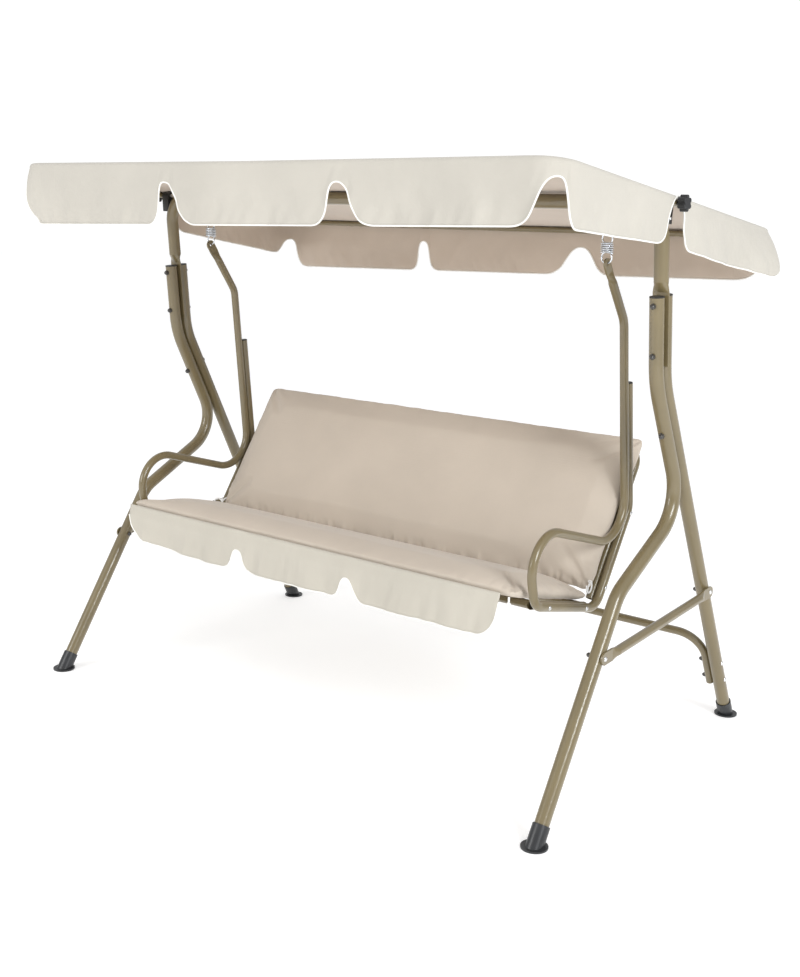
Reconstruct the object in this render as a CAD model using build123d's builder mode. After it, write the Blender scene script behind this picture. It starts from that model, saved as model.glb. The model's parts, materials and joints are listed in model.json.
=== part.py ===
from build123d import *
import os
from math import atan, cos, degrees, hypot, radians, sin, tan

os.makedirs("parts", exist_ok=True)

# Canopy swing bench. Millimetres, +Z up, -Y is the front, origin on the floor
# at the centre of the bounding box. Left is -X and right is +X, seen from the front.

SIDES = (("left", -1), ("right", 1))

# ---------------------------------------------------------------- driving dimensions
# stand
FRAME_X = 825.0              # middle plane of each side frame
LEG_D = 35.0
LEG_WALL = 1.2
LEG_TOP_Z = 1180.0
REAR_TOP_Z = 1184.0          # the rear leg's axis where its end is cut square
FRONT_LEG = [(-42.5, LEG_TOP_Z), (-22.5, 980.0), (143.3, 657.5), (-154.5, 501.0), (-474.1, 0.0)]
FRONT_LEG_RADII = [250.0, 110.0, 100.0]
REAR_LEG = [(-2.9, REAR_TOP_Z), (17.6, 979.0), (520.5, 0.0)]
REAR_LEG_RADII = [215.0]
LEG_END_Z = 16.0             # height of the leg's axis at its cut lower end
FOOT_FLANGE_D = 62.0
FOOT_FLANGE_T = 4.0
FOOT_SLEEVE_D = 41.0
FOOT_SLEEVE_L = 50.0
FOOT_EDGE = 1.2              # rounding of the sleeve's upper edge
FOOT_CLEAR = 0.1             # between the leg and its sleeve, on the radius
FRAME_BOLT_Z = (1162.0, 1046.0, 859.0)
BOLT_R = 4.0
HOLE_CLEAR = 0.15
DRILL_OVER = 4.0             # how far a drill passes the tube it cuts
TOUCH = 0.05                 # gap between two pieces that bear on each other
THREAD_OUT = 5.5             # a bolt's thread beyond the pieces it clamps

# top beam
BEAM_Y = -43.3
BEAM_Z = 1393.0
BEAM_D = 35.0
BEAM_WALL = 1.5
BEAM_BEND = 80.0
BEAM_FOOT_Y = -22.5          # the beam's middle plane where it meets the leg tops
TONGUE_W = 43.0
TONGUE_T = 3.6
TONGUE_TOP_Z = 1191.0
TONGUE_END_Z = 1020.0
CRIMP_TOP_Z = 1216.0
CAP_LIP = 2.5
CAP_PLUG = 10.0
CAP_OVER = 0.3               # a cap's lip beyond the tube, on the radius

# braces
BRACE_D = 22.0
BRACE_WALL = 1.0
FLAT_T = 4.4
FLAT_W = 30.0
BRACE_FLAT_L = 34.0
BRACE_TAPER_L = 26.0
WELD_GAP = 0.1               # gap between pieces that are welded or clamped
BRACE_FRONT_Z = 371.0
BRACE_REAR_Z = 404.0
BRACE_BOLT_R = 3.0
CROSSBAR_D = 22.0
CROSSBAR_Z = 252.0
CROSSBAR_END_Z = 104.0
CROSSBAR_BEND = 70.0
CROSSBAR_BOLT_Z = (176.0, 122.0)

# springs and their hooks
SPRING_X = 675.0
SPRING_Y = -16.5
WIRE_D = 4.0
COIL_R = 13.5                # centre line of the coil and of its end loops
COIL_PITCH = 5.0
COIL_TURNS = 5
COIL_BOTTOM_Z = 1274.5
LOOP_OFFSET = 10.0           # end loop's centre beyond the last coil
HOOK_D = 7.0
HOOK_R = 12.0                # centre line of the hook's round bottom
RUN_GAP = 0.3                # clearance between a hook, a wire and a hole
HOLE_RISE = 0.6              # how far the spring's wire sits above the hole's middle

# seat
SEAT_X = 677.0               # middle plane of each side loop
SEAT_TUBE_D = 22.0
SEAT_WALL = 1.2
HANGER_HOLE_R = 4.5
HANGER_FLAT_W = 28.0
HANGER_FLAT_L = 25.0
HANGER_TAPER_L = 30.0
HANGER_BEND = (82.5, 1109.0)
ARM_REAR = (149.1, 529.8)
ARM_FRONT = (-324.5, 667.0)
RAIL_FRONT = (-275.5, 466.3)
RAIL_REAR = (10.8, 397.0)
BACK_BEND = (160.6, 626.3)
BACK_END = (122.5, 953.0)
SEAT_RADII = [60.0, 90.0, 85.0, 45.0, 50.0, 60.0]
SEAT_BOLT_R = 3.0
RAIL_BOLT_AT = (52.0, 232.0)  # along the rail, from its front corner
BACK_BOLT_AT = (56.0, 262.0)  # up the back, from the rail's rear corner
SEAT_FRONT = -128.0          # along the seat, from its middle
SEAT_REAR = 128.0
FRONT_TUBE = -117.0
REAR_TUBE = 108.0
BACK_LOW = 20.0              # along the back, from the rear corner of the rail
BACK_CROSS = 84.0
BACK_TOP = 448.0
BACK_CORNER = 60.0
SLAT_W = 25.0
SLAT_T = 1.5
SLATS = 9
SLAT_PITCH = 138.0
SLAT_OVER = 8.0              # a slat's end beyond the tube's axis
SLAT_CORNER = 4.0
CUSHION_W = 1290.0
SEAT_PAD_T = 45.0
BACK_PAD_T = 53.0
PAD_ROUND = 18.0
PAD_GAP = 0.5                # between a cushion and the slats under it
SEAT_PAD_FRONT = -196.0      # along the seat, from its middle
SEAT_PAD_REAR = 112.0
BACK_PAD_LOW = 46.0          # along the back, from the rear corner of the rail
BACK_PAD_TOP = 458.0
FLAP_X = -40.0               # the flap hangs a little to the left
FLAP_Y = -334.0
FLAP_W = 1310.0
FLAP_TOP_Z = 492.0
FLAP_BOTTOM_Z = 383.0
FLAP_NOTCH_X = 205.0         # each notch from the flap's middle
FLAP_NOTCH_Z = 443.0
FLAP_NOTCH_W = 62.0
FLAP_CORNER = 55.0
CLOTH_T = 2.5
TIE_D = 5.0

# canopy
CANOPY_TILT = 7.38           # front edge up
CANOPY_RAIL_X = 855.5
CANOPY_TUBE_D = 16.0
CANOPY_WALL = 1.0
CANOPY_FRONT_Y = -551.5
CANOPY_REAR_Y = 532.5
CANOPY_CROWN = 20.5          # roof's top above the pivot, at the beam
CANOPY_EDGE = 11.0           # roof's top above the bars, at the front and rear edges
CANOPY_CORNER = 60.0
CANOPY_JOINTS = (-350.0, 400.0)  # where the bars' arms plug into the rails
PLUG_L = 35.0
SHOULDER_L = 3.0             # the solid step behind a plug
COVER_GAP = 0.5              # between the cloth and the bars
COVER_DEEP = 1120.0          # below every hem
COVER_HIGH = 1520.0          # above the roof
CROWN_BEND = 300.0           # the roof's bend over the beam
VALANCE_FRONT_Z = 1320.0
VALANCE_MID_Z = 1280.0
VALANCE_REAR_Z = 1185.0
GAP_X = 285.0                # the two gaps of the front and rear valances
GAP_FRONT_Z = 1421.0
GAP_REAR_Z = 1272.0
GAP_SIDE_Z = 1409.0
GAP_FRONT_W = 82.0           # half of a gap's width at the hem
GAP_REAR_W = 116.0
GAP_SIDE_W = 86.0
CORNER_FRONT_Z = 1433.0
CORNER_REAR_Z = 1258.0
CORNER_GAP_W = 70.0
BELL_FLARE = (1.5, 1.0)      # a gap's spline strength at the hem and at the apex
PIVOT_R = 4.0
PIVOT_HEAD_R = 7.5
PIVOT_HEAD_H = 5.3
KNOB_R = 19.0
KNOB_HUB_R = 7.0
KNOB_HUB_L = 6.0
KNOB_L = 24.0
KNOB_LOBES = 6
KNOB_EDGE = 2.0
LUG_OUT = 3.1                # the block's outer face beyond the beam's side
LUG_DEPTH = 26.0             # the block's depth along X
LUG_W = 30.0
LUG_LOW_W = 22.0
LUG_LOW_Z = 1346.0
LUG_SCREW_Z = 1359.0
SCREW_R = 2.0
SCREW_HEAD_R = 4.0
SCREW_HEAD_H = 2.2
SCREW_BITE = 6.0             # how deep a screw enters a tube


# ---------------------------------------------------------------- helpers
def side_plane(x):
    """A plane across X whose local axes are the world's Y and Z."""
    return Plane(origin=(x, 0, 0), x_dir=(0, 1, 0), z_dir=(1, 0, 0))


def along(start, end, distance):
    """The point that lies a distance from start on the way to end, in Y and Z."""
    span = hypot(end[0] - start[0], end[1] - start[1])
    part = distance / span
    return (start[0] + (end[0] - start[0]) * part, start[1] + (end[1] - start[1]) * part)


def direction(start, end):
    """The unit vector from start to end, both in Y and Z."""
    span = hypot(end[0] - start[0], end[1] - start[1])
    return Vector(0, (end[0] - start[0]) / span, (end[1] - start[1]) / span)


def y_at(line, z):
    """The Y where a straight line through two (Y, Z) points reaches a height."""
    (y0, z0), (y1, z1) = line
    return y0 + (y1 - y0) * (z - z0) / (z1 - z0)


def ring(diameter, wall):
    Circle(diameter / 2)
    Circle(diameter / 2 - wall, mode=Mode.SUBTRACT)


def bent_tube(plane, points, radii, diameter, wall):
    """A tube swept along straight runs joined by tangent arcs."""
    with BuildPart() as tube:
        with BuildLine(plane) as route:
            FilletPolyline(*points, radius=radii)
        with BuildSketch(Plane(origin=route.line @ 0, z_dir=route.line % 0)):
            ring(diameter, wall)
        sweep()
    return tube.part


def straight_tube(start, end, diameter, wall):
    axis = Vector(*end) - Vector(*start)
    with BuildPart() as tube:
        with BuildSketch(Plane(origin=start, z_dir=axis)):
            ring(diameter, wall)
        extrude(amount=axis.length)
    return tube.part


def drill(planes, radius, length):
    """Cut round holes of the given length, centred on each plane's origin."""
    with Locations(*planes):
        Cylinder(radius, length, mode=Mode.SUBTRACT)


def screw_shape(shank_r, length, head_r, head_h):
    """A screw along Z: domed head above Z = 0, shank below it."""
    with BuildPart() as screw:
        with BuildSketch(Plane.XZ):
            with BuildLine():
                Polyline((0, head_h), (0, -length), (shank_r, -length), (shank_r, 0), (head_r, 0))
                Spline((head_r, 0), (head_r * 0.75, head_h * 0.72), (0, head_h))
            make_face()
        revolve(axis=Axis.Z)
    return screw.part


def cap_nut_shape(bore_r, nut_r, height):
    """A cap nut along Z: hexagon with a domed top, bored from below."""
    with BuildPart() as nut:
        with BuildSketch():
            RegularPolygon(nut_r, 6)
        extrude(amount=height * 0.45)
        with BuildSketch(Plane.XZ):
            with BuildLine():
                Polyline((0, height), (0, height * 0.3), (nut_r * 0.84, height * 0.3))
                Spline((nut_r * 0.84, height * 0.3), (nut_r * 0.62, height * 0.8), (0, height))
            make_face()
        revolve(axis=Axis.Z)
        with Locations((0, 0, height * 0.3)):
            Cylinder(bore_r, height * 0.6, mode=Mode.SUBTRACT)
    return nut.part


def end_cap_shape(diameter, wall, plug, lip=2.5):
    """A plastic tube cap along Z: lip above Z = 0, plug below it."""
    with BuildPart() as cap:
        Cylinder(diameter / 2 - CAP_OVER, lip, align=(Align.CENTER, Align.CENTER, Align.MIN))
        fillet(cap.edges().group_by(Axis.Z)[-1], lip * 0.4)
        Cylinder(diameter / 2 - wall - HOLE_CLEAR, plug, align=(Align.CENTER, Align.CENTER, Align.MAX))
    return cap.part


def copies(shape, planes):
    """One node made of separate copies of a shape, one on each plane."""
    with BuildPart() as group:
        with Locations(*planes):
            add(shape)
    return group.part


def save(part, node):
    part.label = node
    export_step(part, f"parts/{node}.step")


# ---------------------------------------------------------------- side frames
FRONT_TOP_RUN = FRONT_LEG[0:2]
REAR_TOP_RUN = REAR_LEG[0:2]
FRONT_FOOT_RUN = FRONT_LEG[3:5]
REAR_FOOT_RUN = REAR_LEG[1:3]
FRONT_BEND_RUN = FRONT_LEG[1:3]
top_dir = direction(FRONT_LEG[1], FRONT_LEG[0])
top_cross = Vector(0, top_dir.Z, -top_dir.Y)
bend_dir = direction(FRONT_LEG[2], FRONT_LEG[1])
bend_cross = Vector(0, bend_dir.Z, -bend_dir.Y)
top_gap = abs(y_at(REAR_TOP_RUN, LEG_TOP_Z) - y_at(FRONT_TOP_RUN, LEG_TOP_Z)) * top_dir.Z
low_bolt_z = FRAME_BOLT_Z[2]
bend_gap = abs(y_at(REAR_FOOT_RUN, low_bolt_z) - y_at(FRONT_BEND_RUN, low_bolt_z)) * bend_dir.Z


def frame_bolt_planes(x):
    """The three bolts that run front to rear, Z pointing to the rear."""
    spots = []
    for z in FRAME_BOLT_Z[:2]:
        spots.append(((x, y_at(FRONT_TOP_RUN, z), z), top_cross))
    spots.append(((x, y_at(FRONT_BEND_RUN, low_bolt_z), low_bolt_z), bend_cross))
    return [Plane(origin=point, z_dir=axis) for point, axis in spots]


def rear_bolt_planes(x):
    """The same three bolts where they cross the rear leg's axis."""
    gaps = (top_gap, top_gap, bend_gap)
    return [plane.offset(gap) for plane, gap in zip(frame_bolt_planes(x), gaps)]


def cut_end(run):
    """The point of a leg's axis at the height where the tube is cut."""
    return (y_at(run, LEG_END_Z), LEG_END_Z)


def across(x, y, z):
    """A plane at a bolt that runs along X, Z pointing outwards."""
    return Plane(origin=(x, y, z), z_dir=(1 if x > 0 else -1, 0, 0))


def crossbar_bolt_spots(x):
    return [(x, y_at(REAR_FOOT_RUN, z), z) for z in CROSSBAR_BOLT_Z]


brace_front = (y_at(FRONT_FOOT_RUN, BRACE_FRONT_Z), BRACE_FRONT_Z)
brace_rear = (y_at(REAR_FOOT_RUN, BRACE_REAR_Z), BRACE_REAR_Z)

for name, side in SIDES:
    x = side * FRAME_X
    plane = side_plane(x)

    with BuildPart() as leg_front:
        add(bent_tube(plane, FRONT_LEG[:-1] + [cut_end(FRONT_FOOT_RUN)], FRONT_LEG_RADII, LEG_D, LEG_WALL))
        drill(frame_bolt_planes(x), BOLT_R + HOLE_CLEAR, LEG_D + DRILL_OVER)
        drill([across(x, *brace_front)], BRACE_BOLT_R + HOLE_CLEAR, LEG_D + DRILL_OVER)
    save(leg_front.part, f"leg_front_{name}")

    with BuildPart() as leg_rear:
        add(bent_tube(plane, REAR_LEG[:-1] + [cut_end(REAR_FOOT_RUN)], REAR_LEG_RADII, LEG_D, LEG_WALL))
        drill(rear_bolt_planes(x), BOLT_R + HOLE_CLEAR, LEG_D + DRILL_OVER)
        cross_holes = [across(*spot) for spot in crossbar_bolt_spots(x)]
        drill([across(x, *brace_rear)] + cross_holes, BRACE_BOLT_R + HOLE_CLEAR, LEG_D + DRILL_OVER)
    save(leg_rear.part, f"leg_rear_{name}")

    for foot_name, run in (("front", FRONT_FOOT_RUN), ("rear", REAR_FOOT_RUN)):
        ground = (x, run[1][0], 0)
        axis = direction(run[1], run[0])
        with BuildPart() as foot:
            with BuildSketch(Plane(origin=ground, z_dir=axis)):
                Circle(FOOT_SLEEVE_D / 2)
            extrude(amount=FOOT_SLEEVE_L)
            fillet(foot.edges().sort_by(Axis.Z)[-1], FOOT_EDGE)
            with BuildSketch(Plane(origin=ground, z_dir=axis)):
                Circle(FOOT_SLEEVE_D / 2)
            extrude(amount=-FOOT_SLEEVE_D)
            with Locations(ground):
                Cylinder(FOOT_FLANGE_D / 2, FOOT_FLANGE_T, align=(Align.CENTER, Align.CENTER, Align.MIN))
                Box(*[3 * FOOT_FLANGE_D] * 3, align=(Align.CENTER, Align.CENTER, Align.MAX), mode=Mode.SUBTRACT)
            bore_start = Vector(x, *cut_end(run))
            with BuildSketch(Plane(origin=bore_start - axis * 2 * FOOT_CLEAR, z_dir=axis)):
                Circle(LEG_D / 2 + FOOT_CLEAR)
            extrude(amount=2 * FOOT_SLEEVE_L, mode=Mode.SUBTRACT)
        save(foot.part, f"foot_{foot_name}_{name}")

# ---------------------------------------------------------------- top beam
beam_line = ((BEAM_FOOT_Y, LEG_TOP_Z), (BEAM_Y, BEAM_Z))
beam_up = direction(*beam_line)


def beam_point(x, z):
    return Vector(x, y_at(beam_line, z), z)


with BuildPart() as top_beam:
    with BuildLine() as route:
        corners = [(-FRAME_X, CRIMP_TOP_Z), (-FRAME_X, BEAM_Z), (FRAME_X, BEAM_Z), (FRAME_X, CRIMP_TOP_Z)]
        FilletPolyline(*[beam_point(*corner) for corner in corners], radius=BEAM_BEND)
    with BuildSketch(Plane(origin=route.line @ 0, z_dir=route.line % 0)):
        ring(BEAM_D, BEAM_WALL)
    sweep()
    for name, side in SIDES:
        x = side * FRAME_X
        tongue_top = Plane(origin=beam_point(x, TONGUE_TOP_Z), x_dir=(1, 0, 0), z_dir=beam_up)
        with BuildSketch(Plane(origin=beam_point(x, CRIMP_TOP_Z), x_dir=(1, 0, 0), z_dir=beam_up)):
            Circle(BEAM_D / 2)
        with BuildSketch(tongue_top):
            SlotOverall(TONGUE_W, TONGUE_T)
        loft()
        with BuildSketch(tongue_top):
            SlotOverall(TONGUE_W, TONGUE_T)
        extrude(amount=-(TONGUE_TOP_Z - TONGUE_END_Z) / beam_up.Z)
        drill(frame_bolt_planes(x)[:2], BOLT_R + HOLE_CLEAR, 3 * LEG_D)
        outer_side = side * (FRAME_X + BEAM_D / 2)
        lug_hole = across(outer_side, y_at(beam_line, LUG_SCREW_Z), LUG_SCREW_Z)
        drill([lug_hole], SCREW_R + HOLE_CLEAR, LEG_D)
save(top_beam.part, "top_beam")

# ---------------------------------------------------------------- side braces and rear crossbar
brace_dir = direction(brace_front, brace_rear)
brace_length = hypot(brace_rear[0] - brace_front[0], brace_rear[1] - brace_front[1])
brace_off = LEG_D / 2 + FLAT_T / 2 + WELD_GAP

for name, side in SIDES:
    x = side * (FRAME_X + brace_off)
    with BuildPart() as side_brace:
        for bolt, axis in ((brace_front, brace_dir), (brace_rear, -brace_dir)):
            start = Vector(x, *bolt)
            flat_end = Plane(origin=start + axis * BRACE_FLAT_L, x_dir=(1, 0, 0), z_dir=axis)
            with BuildSketch(Plane(origin=start - (side * FLAT_T / 2, 0, 0), x_dir=axis, z_dir=(side, 0, 0))):
                Circle(FLAT_W / 2)
                with Locations((BRACE_FLAT_L / 2, 0)):
                    Rectangle(BRACE_FLAT_L, FLAT_W)
            extrude(amount=FLAT_T)
            with BuildSketch(flat_end):
                Rectangle(FLAT_T, FLAT_W)
            with BuildSketch(flat_end.offset(BRACE_TAPER_L)):
                Circle(BRACE_D / 2)
            loft()
        inset = BRACE_FLAT_L + BRACE_TAPER_L
        with BuildSketch(Plane(origin=Vector(x, *brace_front) + brace_dir * inset, z_dir=brace_dir)):
            ring(BRACE_D, BRACE_WALL)
        extrude(amount=brace_length - 2 * inset)
        drill([across(x, *brace_front), across(x, *brace_rear)], BRACE_BOLT_R + HOLE_CLEAR, 3 * FLAT_T)
    save(side_brace.part, f"side_brace_{name}")

crossbar_x = FRAME_X - LEG_D / 2 - CROSSBAR_D / 2 - WELD_GAP
crossbar_points = []
for x, z in ((-1, CROSSBAR_END_Z), (-1, CROSSBAR_Z), (1, CROSSBAR_Z), (1, CROSSBAR_END_Z)):
    crossbar_points.append((x * crossbar_x, y_at(REAR_FOOT_RUN, z), z))
with BuildPart() as rear_crossbar:
    add(bent_tube(Plane.XY, crossbar_points, CROSSBAR_BEND, CROSSBAR_D, BRACE_WALL))
    for name, side in SIDES:
        holes = [across(side * crossbar_x, y, z) for _, y, z in crossbar_bolt_spots(0)]
        drill(holes, BRACE_BOLT_R + HOLE_CLEAR, CROSSBAR_D + DRILL_OVER)
save(rear_crossbar.part, "rear_crossbar")

# ---------------------------------------------------------------- stand fasteners and caps
frame_head = {"head_r": 8.0, "head_h": 4.0}
brace_head = {"head_r": 6.0, "head_h": 3.2}
seat_head = {"head_r": 5.5, "head_h": 3.0}
long_bolt = screw_shape(BOLT_R, top_gap + LEG_D + THREAD_OUT, **frame_head)
short_bolt = screw_shape(BOLT_R, bend_gap + LEG_D + THREAD_OUT, **frame_head)
long_nut = cap_nut_shape(BOLT_R + TOUCH, nut_r=7.5, height=11.0)
brace_bolt = screw_shape(BRACE_BOLT_R, LEG_D + FLAT_T + THREAD_OUT, **brace_head)
crossbar_bolt = screw_shape(BRACE_BOLT_R, LEG_D + CROSSBAR_D + THREAD_OUT, **brace_head)
small_nut = cap_nut_shape(BRACE_BOLT_R + TOUCH, nut_r=6.2, height=9.5)

long_heads, short_heads, bolt_nuts, brace_heads, brace_nuts, bar_heads, bar_nuts = ([] for _ in range(7))
for name, side in SIDES:
    x = side * FRAME_X
    rear_faces = [plane.offset(LEG_D / 2 + TOUCH) for plane in rear_bolt_planes(x)]
    long_heads += rear_faces[:2]
    short_heads += rear_faces[2:]
    for plane in frame_bolt_planes(x):
        nut_at = plane.offset(-LEG_D / 2 - TOUCH)
        bolt_nuts.append(Plane(origin=nut_at.origin, z_dir=-plane.z_dir))
    inner = side * (LEG_D / 2 + TOUCH)
    for bolt in (brace_front, brace_rear):
        brace_heads.append(across(x + side * (brace_off + FLAT_T / 2 + TOUCH), *bolt))
        brace_nuts.append(Plane(origin=(x - inner, *bolt), z_dir=(-side, 0, 0)))
    for _, y, z in crossbar_bolt_spots(x):
        bar_heads.append(across(x + inner, y, z))
        nut_x = side * (crossbar_x - CROSSBAR_D / 2 - TOUCH)
        bar_nuts.append(Plane(origin=(nut_x, y, z), z_dir=(-side, 0, 0)))

with BuildPart() as frame_bolts:
    with Locations(*long_heads):
        add(long_bolt)
    with Locations(*short_heads):
        add(short_bolt)
save(frame_bolts.part, "frame_bolts")
save(copies(long_nut, bolt_nuts), "frame_cap_nuts")
save(copies(brace_bolt, brace_heads), "brace_bolts")
save(copies(small_nut, brace_nuts), "brace_cap_nuts")
save(copies(crossbar_bolt, bar_heads), "crossbar_bolts")
save(copies(small_nut, bar_nuts), "crossbar_cap_nuts")

# half-moon plastic caps close the leg tops beside the beam's tongue
with BuildPart() as leg_top_caps:
    for name, side in SIDES:
        for leg in (FRONT_LEG, REAR_LEG):
            top = Plane(origin=(side * FRAME_X, *leg[0]), z_dir=top_dir)
            with BuildSketch(top.offset(TOUCH)):
                Circle(LEG_D / 2 + CAP_OVER)
            extrude(amount=CAP_LIP)
            with BuildSketch(top.offset(TOUCH)):
                Circle(LEG_D / 2 - LEG_WALL - HOLE_CLEAR)
            extrude(amount=-CAP_PLUG)
        tongue = Plane(origin=beam_point(side * FRAME_X, LEG_TOP_Z), x_dir=(1, 0, 0), z_dir=beam_up)
        with BuildSketch(tongue):
            Rectangle(TONGUE_W + DRILL_OVER, TONGUE_T + 2 * WELD_GAP)
        extrude(amount=3 * CAP_PLUG, both=True, mode=Mode.SUBTRACT)
save(leg_top_caps.part, "leg_top_caps")

# ---------------------------------------------------------------- spring hooks and springs
coil_top_z = COIL_BOTTOM_Z + COIL_PITCH * COIL_TURNS
upper_wire_z = coil_top_z + LOOP_OFFSET + COIL_R
lower_wire_z = COIL_BOTTOM_Z - LOOP_OFFSET - COIL_R
wire_seat = HOOK_R - HOOK_D / 2 - WIRE_D / 2 - RUN_GAP
swing_axis_z = upper_wire_z + wire_seat
hook_floor_z = swing_axis_z - HOOK_R

for name, side in SIDES:
    x = side * SPRING_X
    with BuildPart() as spring_hook:
        hook_points = [(SPRING_Y - 23.0, BEAM_Z - 12.0), (SPRING_Y - HOOK_R, swing_axis_z + 22.0),
                       (SPRING_Y - HOOK_R, hook_floor_z), (SPRING_Y + HOOK_R, hook_floor_z),
                       (SPRING_Y + HOOK_R, swing_axis_z + 11.0)]
        hook_radii = [16.0, HOOK_R - 0.05, HOOK_R - 0.05]
        with BuildLine(side_plane(x)) as route:
            FilletPolyline(*hook_points, radius=hook_radii)
        with BuildSketch(Plane(origin=route.line @ 0, z_dir=route.line % 0)):
            Circle(HOOK_D / 2)
        sweep()
        drill([Plane(origin=(x, BEAM_Y, BEAM_Z), z_dir=(1, 0, 0))], BEAM_D / 2 + 0.02, 60)
    save(spring_hook.part, f"spring_hook_{name}")

    with BuildPart() as spring:
        with BuildLine(Plane(origin=(x, SPRING_Y, COIL_BOTTOM_Z))) as route:
            Helix(pitch=COIL_PITCH, height=COIL_PITCH * COIL_TURNS, radius=COIL_R)
        with BuildSketch(Plane(origin=route.line @ 0, z_dir=route.line % 0)):
            Circle(WIRE_D / 2)
        sweep()
        for centre_z, lean in ((coil_top_z + LOOP_OFFSET, 1), (COIL_BOTTOM_Z - LOOP_OFFSET, -1)):
            start = -90 * lean + degrees(atan(COIL_R / LOOP_OFFSET)) * lean
            with BuildLine(Plane(origin=(x, SPRING_Y, centre_z), x_dir=(1, 0, 0), z_dir=(0, -1, 0))) as loop:
                CenterArc((0, 0), COIL_R, start, 290 * lean)
            with BuildSketch(Plane(origin=loop.line @ 0, z_dir=loop.line % 0)):
                Circle(WIRE_D / 2)
            sweep()
    save(spring.part, f"spring_{name}")

# ---------------------------------------------------------------- seat side loops
hole_z = lower_wire_z - (HANGER_HOLE_R - WIRE_D / 2 - RUN_GAP) + HOLE_RISE
HANGER_HOLE = (SPRING_Y, hole_z)
hanger_dir = direction(HANGER_HOLE, HANGER_BEND)
loop_start = along(HANGER_HOLE, HANGER_BEND, HANGER_FLAT_L + HANGER_TAPER_L)
loop_points = [loop_start, HANGER_BEND, ARM_REAR, ARM_FRONT, RAIL_FRONT, RAIL_REAR, BACK_BEND, BACK_END]
rail_dir = direction(RAIL_FRONT, RAIL_REAR)
back_dir = direction(RAIL_REAR, BACK_BEND)
RAIL_BOLTS = [along(RAIL_FRONT, RAIL_REAR, distance) for distance in RAIL_BOLT_AT]
BACK_BOLTS = [along(RAIL_REAR, BACK_BEND, distance) for distance in BACK_BOLT_AT]
inner_x = SEAT_X - SEAT_TUBE_D - 2 * WELD_GAP

for name, side in SIDES:
    x = side * SEAT_X
    with BuildPart() as seat_side:
        add(bent_tube(side_plane(x), loop_points, SEAT_RADII, SEAT_TUBE_D, SEAT_WALL))
        hole = Vector(x, *HANGER_HOLE)
        flat_end = Plane(origin=hole + hanger_dir * HANGER_FLAT_L, x_dir=(1, 0, 0), z_dir=hanger_dir)
        with BuildSketch(Plane(origin=hole - (FLAT_T / 2, 0, 0), x_dir=hanger_dir, z_dir=(1, 0, 0))):
            Circle(HANGER_FLAT_W / 2)
            with Locations((HANGER_FLAT_L / 2, 0)):
                Rectangle(HANGER_FLAT_L, HANGER_FLAT_W)
        extrude(amount=FLAT_T)
        with BuildSketch(flat_end):
            Rectangle(FLAT_T, HANGER_FLAT_W)
        with BuildSketch(flat_end.offset(HANGER_TAPER_L)):
            Circle(SEAT_TUBE_D / 2)
        loft()
        drill([across(x, *HANGER_HOLE)], HANGER_HOLE_R, 3 * FLAT_T)
        bolt_planes = [across(x, *spot) for spot in RAIL_BOLTS + BACK_BOLTS]
        drill(bolt_planes, SEAT_BOLT_R + HOLE_CLEAR, SEAT_TUBE_D + DRILL_OVER)
    save(seat_side.part, f"seat_side_{name}")

end_dir = direction(BACK_BEND, BACK_END)
cap_planes = [Plane(origin=(side * SEAT_X, *BACK_END), z_dir=end_dir).offset(WELD_GAP) for _, side in SIDES]
save(copies(end_cap_shape(SEAT_TUBE_D, SEAT_WALL, plug=9.0), cap_planes), "seat_side_caps")

# ---------------------------------------------------------------- seat and back frames
rail_mid = along(RAIL_FRONT, RAIL_REAR, hypot(RAIL_REAR[0] - RAIL_FRONT[0], RAIL_REAR[1] - RAIL_FRONT[1]) / 2)
seat_plane = Plane(origin=(0, *rail_mid), x_dir=(1, 0, 0), z_dir=(0, -rail_dir.Z, rail_dir.Y))
back_plane = Plane(origin=(0, *RAIL_REAR), x_dir=(1, 0, 0), z_dir=(0, -back_dir.Z, back_dir.Y))


def on(plane, x, y, z=0.0):
    """A point given in a plane's own axes."""
    return plane.from_local_coords(Vector(x, y, z))


for name, side in SIDES:
    x = side * inner_x
    with BuildPart() as seat_rail:
        rail_start = on(seat_plane, x, SEAT_FRONT)
        add(straight_tube(rail_start, on(seat_plane, x, SEAT_REAR), SEAT_TUBE_D, SEAT_WALL))
        drill([across(x, *spot) for spot in RAIL_BOLTS], SEAT_BOLT_R + HOLE_CLEAR, SEAT_TUBE_D + DRILL_OVER)
    save(seat_rail.part, f"seat_rail_{name}")


def cross_tube(plane, height):
    """A tube between the two rails, coped to fit their round sides."""
    with BuildPart() as tube:
        with BuildSketch(Plane(origin=on(plane, -inner_x, height), z_dir=(1, 0, 0))):
            ring(SEAT_TUBE_D, SEAT_WALL)
        extrude(amount=2 * inner_x)
        ends = [Plane(origin=on(plane, side * inner_x, height), z_dir=plane.y_dir) for _, side in SIDES]
        drill(ends, SEAT_TUBE_D / 2 + TOUCH, 3 * SEAT_TUBE_D)
    return tube.part


save(cross_tube(seat_plane, FRONT_TUBE), "seat_front_tube")
save(cross_tube(seat_plane, REAR_TUBE), "seat_rear_tube")
save(cross_tube(back_plane, BACK_CROSS), "back_cross_tube")

with BuildPart() as back_frame:
    corners = [(-inner_x, BACK_LOW), (-inner_x, BACK_TOP), (inner_x, BACK_TOP), (inner_x, BACK_LOW)]
    add(bent_tube(back_plane, corners, BACK_CORNER, SEAT_TUBE_D, SEAT_WALL))
    for name, side in SIDES:
        planes = [across(side * inner_x, *spot) for spot in BACK_BOLTS]
        drill(planes, SEAT_BOLT_R + HOLE_CLEAR, SEAT_TUBE_D + DRILL_OVER)
save(back_frame.part, "back_frame")

slat_base = SEAT_TUBE_D / 2 + TOUCH


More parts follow.
